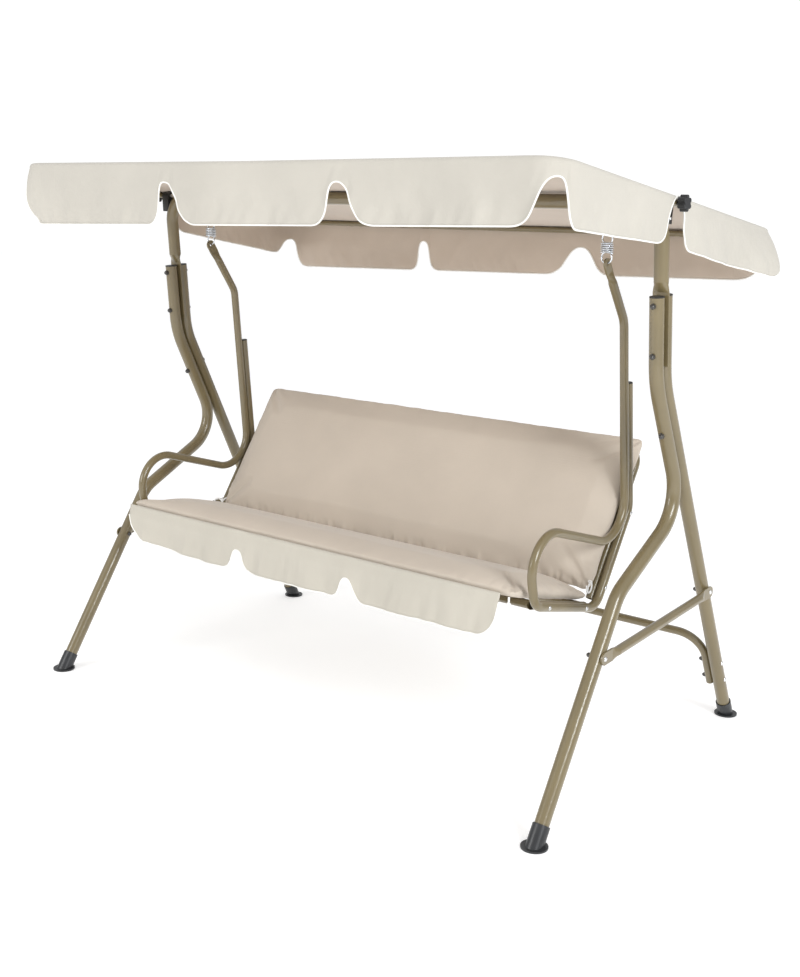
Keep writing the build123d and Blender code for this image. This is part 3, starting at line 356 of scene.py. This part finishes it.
# place, the tie's route and length, the bow's route and length
TIES = (("front", FRONT_TIE, 0.0645, FRONT_BOW, 0.098), ("rear", REAR_TIE, 0.045, REAR_BOW, 0.070))
KNOT_R = 0.0058
KNOT_LUMP, KNOT_LUMP_SCALE = 0.22, 190
KNOT_SQUASH = 0.85
KNOT_BACK = 0.003            # the knot's middle behind the start of the bow


def make_knot(name, place):
    """A small lump where the cord is knotted."""
    ball = bmesh.new()
    bmesh.ops.create_uvsphere(ball, u_segments=16, v_segments=10, radius=KNOT_R)
    for vertex in ball.verts:
        vertex.co *= 1 + KNOT_LUMP * noise.noise(vertex.co * KNOT_LUMP_SCALE)
        vertex.co.z *= KNOT_SQUASH
        vertex.co += place
    mesh = bpy.data.meshes.new(name)
    ball.to_mesh(mesh)
    ball.free()
    mesh.polygons.foreach_set("use_smooth", [True] * len(mesh.polygons))
    mesh.materials.append(tie_cloth)
    return add_object(name, mesh)


def make_ties():
    """Four ties round the side loops, each with its knot and its bow."""
    for place, route, length, bow_route, bow_length in TIES:
        for name, side in SIDES:
            points = [Vector((side * x, y, z)) for x, y, z in route]
            bow_points = [Vector((side * x, y, z)) for x, y, z in bow_route]
            tie = make_cord(f"cushion_tie_{place}_{name}", points, TIE_D / 2, tie_cloth)
            bow = make_cord(f"cushion_bow_{place}_{name}", bow_points, BOW_D / 2, tie_cloth)
            knot = make_knot(f"cushion_knot_{place}_{name}", bow_points[0] + Vector((0, KNOT_BACK, 0)))
            for piece in (tie, bow, knot):
                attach(piece, "seat")
            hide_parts(f"tie_{place}_{name}")


make_ties()

# ---------------------------------------------------------------- canopy cover
COVER_LOW, COVER_HIGH = (Vector(corner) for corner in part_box("canopy_fabric"))
PIVOT = Vector(next(j["pos_m"] for j in frame["record"]["behaviour"]["joints"] if j["name"] == "canopy_tilt"))
TILT = radians(7.38)
BAR_R = 0.008
EDGE = BAR_R + CLOTH_T       # the cloth's middle above the axes of the front and rear bars
CORNER_R = 0.0695
SHELL_IN = 0.0013            # the cloth's middle inside the CAD cover's box
CROWN = 0.0195               # the cloth's height above the rails' plane, over the beam
RIDGE_ROUND = 0.04           # share of the slope over which the roof's ridge is rounded
CROWN_RUN = 0.10             # the crown fades out over this length at both sides
ROOF_SAG = 0.006
ROOF_RIPPLE = 0.0016
RIGHT_RISE = 0.007           # the roof's rise to the right of the middle, per metre
HEM_FRONT, HEM_PIVOT, HEM_REAR = 1.320, 1.280, 1.187
HEM_ASKEW = 0.020            # the hem's rise to the right, per metre
HEM_LEFT_LIFT = 0.034        # the left side panel's hem is this much higher
GAP_X = 0.285
FRONT_APEX, SIDE_APEX, REAR_APEX = 1.421, 1.408, 1.272
FRONT_CORNER_APEX, REAR_CORNER_APEX = 1.434, 1.262
GAP_STEPS = 22
BELL_RISE = 0.10             # rise for which a gap's flank is drawn before it is scaled
SKIRT_DEPTH = 0.15
WAVE_OUT, SMALL_WAVE_OUT, PUCKER_OUT, CREASE_OUT = 0.011, 0.006, 0.0042, 0.004
BELLY_OUT, BELLY_IN = 0.021, 0.008      # front left corner
FLARE_OUT = 0.040                       # rear right corner
TUCK_IN = 0.010                         # left half of the front
SKIRT_ROWS, BEND_ROWS, ROOF_ROWS = 16, 5, 22
SPINE_HALF, SPINE_STEP = 0.55, 0.0275   # both sides of the roof meet in the same points
SPINE_SHARE = 0.66
ROOF_BUNCH = 1.25                       # the roof's rows are closer together near its edge
COVER_PIPING_R = 0.0020


def hem_height(point):
    """The hem's height between the gaps: it falls to the rear, and the cover sits a little askew."""
    askew = HEM_ASKEW * point.x + HEM_LEFT_LIFT * smooth_step(-point.x, 0.845, 0.860)
    if point.y < PIVOT.y:
        part = (point.y - COVER_LOW.y) / (PIVOT.y - COVER_LOW.y)
        return HEM_FRONT + (HEM_PIVOT - HEM_FRONT) * part + askew
    part = (point.y - PIVOT.y) / (COVER_HIGH.y - PIVOT.y)
    return HEM_PIVOT + (HEM_REAR - HEM_PIVOT) * part + askew


def outline(half_x, front, rear, corner):
    """A rounded rectangle in plan, as (length, function of distance -> point and outward normal)."""
    runs = []
    straight_x = 2 * (half_x - corner)
    straight_y = rear - front - 2 * corner
    arc = corner * pi / 2
    runs.append(("line", straight_x, Vector((-half_x + corner, front)), Vector((1, 0)), Vector((0, -1))))
    runs.append(("arc", arc, Vector((half_x - corner, front + corner)), -pi / 2))
    runs.append(("line", straight_y, Vector((half_x, front + corner)), Vector((0, 1)), Vector((1, 0))))
    runs.append(("arc", arc, Vector((half_x - corner, rear - corner)), 0.0))
    runs.append(("line", straight_x, Vector((half_x - corner, rear)), Vector((-1, 0)), Vector((0, 1))))
    runs.append(("arc", arc, Vector((-half_x + corner, rear - corner)), pi / 2))
    runs.append(("line", straight_y, Vector((-half_x, rear - corner)), Vector((0, -1)), Vector((-1, 0))))
    runs.append(("arc", arc, Vector((-half_x + corner, front + corner)), pi))

    def at(distance):
        for run in runs:
            if distance <= run[1] or run is runs[-1]:
                break
            distance -= run[1]
        if run[0] == "line":
            return run[2] + run[3] * distance, run[4]
        angle = run[3] + distance / corner
        normal = Vector((cos(angle), sin(angle)))
        return run[2] + normal * corner, normal

    return sum(run[1] for run in runs), at


cover_sides = COVER_HIGH.x - SHELL_IN, COVER_LOW.y + SHELL_IN, COVER_HIGH.y - SHELL_IN
perimeter, outline_at = outline(*cover_sides, CORNER_R)


def cover_gaps():
    """The skirt's gaps: centre along the outline, widths before and after it, and the apex's height."""
    half_x, front, rear = cover_sides
    front_run = 2 * (half_x - CORNER_R)
    side_run = rear - front - 2 * CORNER_R
    arc = CORNER_R * pi / 2
    right_start = front_run + arc
    rear_start = right_start + side_run + arc
    left_start = rear_start + front_run + arc
    pivot_run = PIVOT.y - front - CORNER_R
    return [
        (front_run / 2 - GAP_X + 0.010, 0.056, 0.112, FRONT_APEX - 0.003),
        (front_run / 2 + GAP_X + 0.007, 0.078, 0.105, FRONT_APEX),
        (front_run + arc / 2, 0.105, 0.070, FRONT_CORNER_APEX),
        (right_start + pivot_run, 0.105, 0.090, SIDE_APEX),
        (rear_start - arc / 2, 0.085, 0.095, REAR_CORNER_APEX),
        (rear_start + front_run / 2 - GAP_X, 0.110, 0.120, REAR_APEX),
        (rear_start + front_run / 2 + GAP_X, 0.060, 0.055, REAR_APEX),
        (left_start - arc / 2, 0.070, 0.085, REAR_CORNER_APEX),
        (left_start + side_run - pivot_run, 0.090, 0.105, SIDE_APEX),
        (perimeter - arc / 2, 0.085, 0.062, FRONT_CORNER_APEX),
    ]


def cover_columns(spacing=0.006):
    """Distances along the outline with the hem's height there, denser on the gaps' steep sides."""
    columns = {}
    gaps = cover_gaps()

    def hem_at(distance):
        point, _ = outline_at(distance % perimeter)
        return hem_height(point)

    for centre, before, after, apex in gaps:
        for half, way in ((before, 1), (after, -1)):
            for k in range(GAP_STEPS + 1):
                x, rise = bell(k / GAP_STEPS, half, BELL_RISE)
                distance = centre + way * x
                base = hem_at(distance)
                columns[round(distance % perimeter, 5)] = base + (apex - base) * rise / BELL_RISE
    steps = int(perimeter / spacing)
    for k in range(steps):
        distance = perimeter * k / steps
        in_gap = False
        for centre, before, after, _ in gaps:
            offset = (distance - centre + perimeter / 2) % perimeter - perimeter / 2
            in_gap = in_gap or -before <= offset <= after
        if not in_gap:
            columns[round(distance, 5)] = hem_at(distance)
    return sorted(columns.items())


def roof_height(point, inset):
    """The cloth's height over a point in plan, that far inside the outline."""
    t = (point.y - PIVOT.y) / cos(TILT)
    reach = (COVER_HIGH.y - PIVOT.y) if t > 0 else (PIVOT.y - COVER_LOW.y)
    along = min(1.0, abs(t) / reach)
    over_beam = smooth_step(COVER_HIGH.x - abs(point.x), 0.0, CROWN_RUN)
    slope = sqrt(along ** 2 + RIDGE_ROUND ** 2) - RIDGE_ROUND
    lift = (CROWN - EDGE) * (1 - slope) * over_beam
    sag = -ROOF_SAG * sin(pi * along) * (1 - (point.x / COVER_HIGH.x) ** 2)
    ripple = ROOF_RIPPLE * noise.noise(Vector((point.x * 3, point.y * 5, 3.0)))
    ripple *= smooth_step(inset, 0.0, 0.12)
    plane_z = PIVOT.z - t * sin(TILT) + RIGHT_RISE * max(0.0, point.x)
    return plane_z + (EDGE + lift + sag + ripple) / cos(TILT)


def billow(place, depth):
    """How far the skirt stands out: it bellies at the front left corner and flares at the rear right."""
    part = min(1.0, max(0.0, depth / SKIRT_DEPTH))
    belly = smooth_step(-place.x, 0.74, 0.86) * smooth_step(-place.y, 0.38, 0.52)
    flare = smooth_step(place.x, 0.70, 0.86) * smooth_step(place.y, 0.22, 0.50)
    tuck = smooth_step(-place.x, 0.30, 0.60) * smooth_step(-place.y, 0.35, 0.50)
    return (belly * (BELLY_OUT * sin(pi * part ** 1.1) - BELLY_IN * part ** 3)
            + flare * FLARE_OUT * sin(0.72 * pi * part) - tuck * TUCK_IN * smooth_step(part, 0.75, 1.0))


def skirt_swing(spot, distance, depth, drop):
    """How far the skirt stands out there: broad waves, slanted creases, puckers near the hem, and billows."""
    wave = noise.noise(spot * 5.5) * WAVE_OUT + noise.noise(spot * 14 + Vector((7, 0, 0))) * SMALL_WAVE_OUT
    near_hem = smooth_step(depth, drop - 0.060, drop - 0.012)
    puckers = noise.noise(Vector((distance * 36 + depth * 14, depth * 7, 1.7))) * PUCKER_OUT - 0.001
    creases = noise.noise(Vector((distance * 17 - depth * 9, depth * 3, 5.3))) * CREASE_OUT
    return ((wave - 0.002) * smooth_step(depth, 0.0, 0.13) + puckers * near_hem
            + creases * smooth_step(depth, 0.01, 0.07) + billow(spot, depth))


def cover_column(distance, hem):
    """The cover's points at one place of the outline: up the skirt, round the bend, and in to the spine."""
    place, normal = outline_at(distance)
    inner = place - normal * EDGE
    turn_z = roof_height(inner, EDGE) - EDGE
    drop = turn_z - hem
    column = []
    for row in range(SKIRT_ROWS):
        z = turn_z - drop * (1 - row / SKIRT_ROWS)
        spot = Vector((place.x, place.y, z))
        swing = skirt_swing(spot, distance, turn_z - z, drop)
        column.append(spot + Vector((normal.x, normal.y, 0)) * swing)
    for row in range(BEND_ROWS):
        angle = pi / 2 * row / (BEND_ROWS - 1)
        flat = place - normal * EDGE * (1 - cos(angle))
        column.append(Vector((flat.x, flat.y, turn_z + EDGE * sin(angle))))
    spine_x = max(-SPINE_HALF, min(SPINE_HALF, round(place.x * SPINE_SHARE / SPINE_STEP) * SPINE_STEP))
    spine = Vector((spine_x, PIVOT.y))
    for row in range(1, ROOF_ROWS + 1):
        flat = inner.lerp(spine, (row / ROOF_ROWS) ** ROOF_BUNCH)
        inset = min(COVER_HIGH.x - abs(flat.x), flat.y - COVER_LOW.y, COVER_HIGH.y - flat.y)
        column.append(Vector((flat.x, flat.y, roof_height(flat, inset))))
    return column


def make_cover():
    """The cover, one sheet of roof and skirt, and the piping along its hem."""
    columns = [cover_column(distance, hem) for distance, hem in cover_columns()]
    points = [point for column in columns for point in column]
    faces = grid_faces(len(columns), SKIRT_ROWS + BEND_ROWS + ROOF_ROWS, closed=True)
    cover = make_mesh("canopy_cover", points, faces, [canopy_cloth, canopy_inside])
    merge_doubles(cover, 0.0004)
    shell = thicken(cover)
    shell.material_offset = 1
    shell.material_offset_rim = 0
    hem_line = [column[0] for column in columns]
    piping = make_cord("canopy_piping", hem_line, COVER_PIPING_R, piping_cloth, closed=True)
    return cover, piping


def merge_doubles(piece, distance):
    """Joins points that lie closer than the distance, and drops the faces this empties."""
    mesh = bmesh.new()
    mesh.from_mesh(piece.data)
    bmesh.ops.remove_doubles(mesh, verts=mesh.verts, dist=distance)
    bmesh.ops.dissolve_degenerate(mesh, edges=mesh.edges, dist=1e-6)
    bmesh.ops.recalc_face_normals(mesh, faces=mesh.faces)
    mesh.to_mesh(piece.data)
    mesh.free()


cover, cover_piping = make_cover()
for piece in (cover, cover_piping):
    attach(piece, "canopy")
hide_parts("canopy_fabric")

# ---------------------------------------------------------------- cushions
# corners of the side loops, as (Y, Z)
RAIL_FRONT, RAIL_REAR = Vector((-0.2755, 0.4663)), Vector((0.0108, 0.397))
BACK_BEND = Vector((0.1606, 0.6263))
SWELL_PRESSURE = 4.0
SWELL_FRAMES = 20
SWELL_MOST = 0.008           # no point moves further than this
RUFFLE_IN = 0.034            # how far the ruffles reach in from the seam
PAD_STEPS, PAD_CELL = 210, 0.0075
SEAT_FRONT_EAR = 0.040
SEAT_REAR_EAR = (0.010, 0.012)          # sideways, rearwards
BACK_EAR = 0.010


class PadPlane:
    """Maps a pad's own axes, across, along and up from its frame, to the bench's."""

    def __init__(self, origin, toward):
        span = toward.normalized()
        self.origin = origin
        self.along = Vector((0, span.x, span.y))
        self.up = Vector((0, -span.y, span.x))

    def at(self, x, s, n):
        return Vector((x, self.origin.x, self.origin.y)) + self.along * s + self.up * n


seat_plane = PadPlane((RAIL_FRONT + RAIL_REAR) / 2, RAIL_REAR - RAIL_FRONT)
back_plane = PadPlane(RAIL_REAR, BACK_BEND - RAIL_REAR)


def inflate(piece, pinned):
    """Blows the closed mesh up as cloth, with the pinned points held."""
    group = piece.vertex_groups.new(name="held")
    group.add(pinned, 1.0, "REPLACE")
    rest = [v.co.copy() for v in piece.data.vertices]
    modifier = piece.modifiers.new("cloth", "CLOTH")
    settings = modifier.settings
    settings.quality = 6
    settings.mass = 0.25
    settings.use_pressure = True
    settings.uniform_pressure_force = SWELL_PRESSURE
    settings.tension_stiffness = 25
    settings.compression_stiffness = 8
    settings.bending_stiffness = 0.3
    settings.vertex_group_mass = "held"
    settings.effector_weights.gravity = 0
    modifier.point_cache.frame_end = SWELL_FRAMES
    for number in range(1, SWELL_FRAMES + 1):
        scene.frame_set(number)
    graph = bpy.context.evaluated_depsgraph_get()
    swollen = piece.evaluated_get(graph).data
    moved = [v.co.copy() for v in swollen.vertices]
    piece.modifiers.remove(modifier)
    for vertex, start, end in zip(piece.data.vertices, rest, moved):
        step = end - start
        if step.length > SWELL_MOST:
            step *= SWELL_MOST / step.length
        vertex.co = start + step
    scene.frame_set(1)
    piece.vertex_groups.clear()


def rounded(x, s, half_x, half_s, corner):
    """Moves a point of a rectangle so that the rectangle's corners become round."""
    over_x, over_s = abs(x) - (half_x - corner), abs(s) - (half_s - corner)
    if over_x <= 0 or over_s <= 0:
        return x, s
    scale = max(over_x, over_s) / hypot(over_x, over_s)
    new_x, new_s = half_x - corner + over_x * scale, half_s - corner + over_s * scale
    return (new_x if x > 0 else -new_x), (new_s if s > 0 else -new_s)


def spread(k, count):
    """Grid lines from -1 to 1, closer together near both ends."""
    flat = 2 * k / count - 1
    return sin(flat * pi / 2) * 0.45 + flat * 0.55


def make_pad(name, plane, centre_x, half_x, low, high, heights, borders, corner, gather, shape):
    """A crowned closed pad: a top and a bottom panel sewn together at a seam all round.

    It runs from low to high along the plane. Heights are those of its base, seam and crown, and borders say
    how far in from the ends and the long edges the crown is reached. Gather gives the strength of the ruffles
    and shape moves points sideways and along.
    """
    across, along = PAD_STEPS, max(44, int((high - low) / PAD_CELL))
    middle, half_s = (low + high) / 2, (high - low) / 2
    base, seam, crown = heights
    power_x, power_s = 2 * half_x / borders[0], 2 * half_s / borders[1]
    grid, points, faces, pinned, ruffles = {}, [], [], [], []
    for layer in (0, 1):
        for i in range(across + 1):
            for j in range(along + 1):
                edge = i in (0, across) or j in (0, along)
                if layer and edge:
                    grid[layer, i, j] = grid[0, i, j]
                    continue
                u, v = spread(i, across), spread(j, along)
                x, s = rounded(u * half_x, v * half_s, half_x, half_s, corner)
                height = sqrt((1 - abs(u) ** power_x) * (1 - abs(v) ** power_s))
                if layer == 0:
                    n = seam + (crown - seam) * height
                else:
                    n = seam - (seam - base) * min(1, height * 2)
                away = min((1 - abs(u)) * half_x, (1 - abs(v)) * half_s)
                at_end = (1 - abs(u)) * half_x < (1 - abs(v)) * half_s
                run = s if at_end else x
                strength = gather(u, v) * (1 - smooth_step(away, 0.0, RUFFLE_IN))
                ruffle = noise.noise(Vector((run * 64, away * 12, 0.5)))
                ruffle += 0.5 * noise.noise(Vector((run * 110, away * 14, 3)))
                pull = noise.noise(Vector((run * 28, 4.2, 0.5))) * (1 - smooth_step(away, 0.0, 0.02))
                shift_x, shift_s = shape(x, middle + s)
                grid[layer, i, j] = len(points)
                if layer == 1 or edge:
                    pinned.append(len(points))
                points.append(plane.at(centre_x + x + shift_x, middle + s + shift_s, n))
                lift = strength * ruffle * (1 if layer == 0 else 0.3)
                sideways = strength * pull * 0.7
                inward = Vector((sideways, 0, 0)) if at_end else plane.along * sideways
                ruffles.append(plane.up * lift + inward)
    for layer in (0, 1):
        for i in range(across):
            for j in range(along):
                corners = ((i, j), (i + 1, j), (i + 1, j + 1), (i, j + 1))
                face = [grid[layer, a, b] for a, b in corners]
                faces.append(face if layer == 0 else face[::-1])
    pad = make_mesh(name, points, faces, [cushion_cloth])
    inflate(pad, pinned)
    for vertex, ruffle in zip(pad.data.vertices, ruffles):
        vertex.co += ruffle
    finer = pad.modifiers.new("finer", "SUBSURF")
    finer.levels = 1
    finer.render_levels = 1
    return pad


def seat_gather(u, v):
    """Stronger ruffles at both ends."""
    return 0.0022 + 0.0035 * smooth_step(abs(u), 0.86, 0.98)


def back_gather(u, v):
    """Stronger ruffles along the lower edge."""
    return 0.0085 * smooth_step(-v, 0.45, 0.75) + 0.0018


def seat_shape(x, s):
    """The front left corner reaches out in front of the left loop, the rear right one under the back pad."""
    front_ear = smooth_step(-x, 0.50, 0.64) * smooth_step(-s, 0.166, 0.186)
    rear_ear = smooth_step(x, 0.50, 0.64) * smooth_step(s, 0.070, 0.110)
    return SEAT_REAR_EAR[0] * rear_ear - SEAT_FRONT_EAR * front_ear, SEAT_REAR_EAR[1] * rear_ear


def back_shape(x, s):
    """The upper right corner reaches out behind the right hanger."""
    return BACK_EAR * smooth_step(x, 0.50, 0.65) * smooth_step(s, 0.30, 0.42), 0.0


seat_pad = make_pad("seat_pad", seat_plane, centre_x=0.000, half_x=0.652, low=-0.194, high=0.122,
                    heights=(0.0135, 0.027, 0.056), borders=(0.055, 0.075), corner=0.020,
                    gather=seat_gather, shape=seat_shape)
back_pad = make_pad("back_pad", back_plane, centre_x=0.006, half_x=0.656, low=0.032, high=0.457,
                    heights=(0.0135, 0.030, 0.060), borders=(0.06, 0.075), corner=0.018,
                    gather=back_gather, shape=back_shape)
for piece, node in ((seat_pad, "seat_cushion"), (back_pad, "back_cushion")):
    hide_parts(node)
    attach(piece, "seat")

# ---------------------------------------------------------------- flap in front of the seat
FLAP_LOW = Vector(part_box("seat_valance")[0])
FLAP_HALF, FLAP_MIDDLE = 0.652, -0.039
FLAP_TOP_Z, FLAP_HEM_Z = 0.4985, FLAP_LOW.z + 0.002
FLAP_SEAM_Y = -0.3245                  # the seam it hangs from
FLAP_OUT = (FLAP_LOW.y + 0.325) * 0.7  # how far it hangs in front of the seam
FLAP_LEFT_LIFT = 0.014                 # the hem's rise at the left end
FLAP_NOTCHES = (-0.205, 0.190)         # each from the flap's middle
NOTCH_HALF, NOTCH_Z = 0.060, 0.443
FLAP_CORNER = 0.070
FLAP_CORNER_RISE = (0.07, 0.092)       # left, right
FLAP_STEPS, FLAP_ROWS = 220, 15
FLAP_FOLD_OUT, FLAP_CREASE_OUT = 0.007, 0.0045
FLAP_PIPING_R = 0.0020


def flap_hem():
    """The hem as (x from the flap's middle, z): two notches, and a rounded corner at each end."""
    columns = {}
    for k in range(FLAP_STEPS + 1):
        x = -FLAP_HALF + 2 * FLAP_HALF * k / FLAP_STEPS
        if all(abs(x - notch_x) > NOTCH_HALF for notch_x in FLAP_NOTCHES):
            columns[round(x, 5)] = FLAP_HEM_Z + FLAP_LEFT_LIFT * smooth_step(-x, 0.30, 0.66)
    for notch_x in FLAP_NOTCHES:
        for k in range(GAP_STEPS + 1):
            x, rise = bell(k / GAP_STEPS, NOTCH_HALF, NOTCH_Z - FLAP_HEM_Z)
            for way in (-1, 1):
                columns[round(notch_x + way * x, 5)] = FLAP_HEM_Z + rise
    for x in columns:
        inside = FLAP_HALF - abs(x)
        if inside < FLAP_CORNER:
            curve = 1 - sqrt(max(0.0, 1 - (1 - inside / FLAP_CORNER) ** 2))
            columns[x] += FLAP_CORNER_RISE[x > 0] * curve
    return sorted(columns.items())


def make_flap():
    """A cloth that hangs from the pad's front seam, its hem cut into three tails."""
    points, hem_line = [], []
    hem_points = flap_hem()
    for x, hem in hem_points:
        for row in range(FLAP_ROWS):
            z = hem + (FLAP_TOP_Z - hem) * (row / (FLAP_ROWS - 1))
            depth = FLAP_TOP_Z - z
            out = smooth_step(depth, 0.0, 0.035)
            fold = noise.noise(Vector((x * 13, depth * 2.5, 9.0))) * FLAP_FOLD_OUT
            fold += noise.noise(Vector((x * 34 + depth * 8, depth * 5, 2.0))) * FLAP_CREASE_OUT
            y = FLAP_SEAM_Y + FLAP_OUT * out + fold * smooth_step(depth, 0.005, 0.09)
            points.append(Vector((x + FLAP_MIDDLE, y, z)))
            if row == 0:
                hem_line.append(points[-1])
    faces = grid_faces(len(hem_points), FLAP_ROWS, closed=False)
    flap = make_mesh("seat_flap", points, faces, [flap_cloth])
    thicken(flap)
    piping = make_cord("seat_flap_piping", hem_line, FLAP_PIPING_R, piping_cloth)
    return flap, piping


flap, flap_piping = make_flap()
for piece in (flap, flap_piping):
    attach(piece, "seat")
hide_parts("seat_valance")


# ---------------------------------------------------------------- floor and light
FLOOR_HALF, FLOOR_Z = 30, -0.001
FLOOR_TONES = (0.88, 0.88, 0.88), (0.90, 0.90, 0.90)
FLOOR_GLOW = 0.34            # keeps the floor nearly white as far as the horizon
BACKDROP_STRENGTH = 1.05
SKY_STRENGTH = 0.85
SKY_LOW, SKY_TOP = (0.45, 0.46, 0.48), (1.0, 1.0, 1.0)


def make_floor():
    """A plain pale floor, a hair below the feet."""
    corners = [(x * FLOOR_HALF, y * FLOOR_HALF, FLOOR_Z) for x, y in ((-1, -1), (1, -1), (1, 1), (-1, 1))]
    floor = make_mesh("floor", corners, [(0, 1, 2, 3)], [], smooth=False)
    material, nodes, links, shader = node_material("floor")
    cloud = noise_node(nodes, links, 0.8, 2.0)
    links.new(ramp_node(nodes, links, cloud.outputs["Fac"], *FLOOR_TONES), shader.inputs["Base Color"])
    shader.inputs["Roughness"].default_value = 0.9
    shader.inputs["Emission Color"].default_value = (1, 1, 1, 1)
    shader.inputs["Emission Strength"].default_value = FLOOR_GLOW
    floor.data.materials.append(material)


def make_light(name, place, aim, size, power, colour=(1, 1, 1)):
    """A soft rectangular lamp, turned towards the point it aims at."""
    data = bpy.data.lights.new(name, "AREA")
    data.shape = "RECTANGLE"
    data.size, data.size_y = size
    data.energy = power
    data.color = colour
    light = add_object(name, data)
    light.location = place
    light.rotation_euler = (Vector(aim) - Vector(place)).to_track_quat("-Z", "Y").to_euler()


def make_world():
    """White behind the object; the light it gives is brighter overhead than near the ground."""
    world = bpy.data.worlds.new("studio")
    world.use_nodes = True
    nodes, links = world.node_tree.nodes, world.node_tree.links
    backdrop = nodes["Background"]
    backdrop.inputs["Color"].default_value = (1, 1, 1, 1)
    backdrop.inputs["Strength"].default_value = BACKDROP_STRENGTH
    coords = nodes.new("ShaderNodeTexCoord")
    parts = nodes.new("ShaderNodeSeparateXYZ")
    links.new(coords.outputs["Generated"], parts.inputs[0])
    sky = nodes.new("ShaderNodeBackground")
    links.new(ramp_node(nodes, links, parts.outputs["Z"], SKY_LOW, SKY_TOP, 0.0, 0.75), sky.inputs["Color"])
    sky.inputs["Strength"].default_value = SKY_STRENGTH
    rays = nodes.new("ShaderNodeLightPath")
    mix = nodes.new("ShaderNodeMixShader")
    links.new(rays.outputs["Is Camera Ray"], mix.inputs[0])
    links.new(sky.outputs[0], mix.inputs[1])
    links.new(backdrop.outputs[0], mix.inputs[2])
    links.new(mix.outputs[0], nodes["World Output"].inputs["Surface"])
    scene.world = world


make_floor()
make_world()
make_light("key", (4.6, -1.7, 2.7), (0.2, 0, 0.9), (1.3, 2.0), 140, (0.96, 0.98, 1.0))
make_light("front_fill", (-1.8, -4.4, 1.9), (0, 0, 0.8), (1.8, 1.6), 70)
scene.view_settings.view_transform = "Standard"
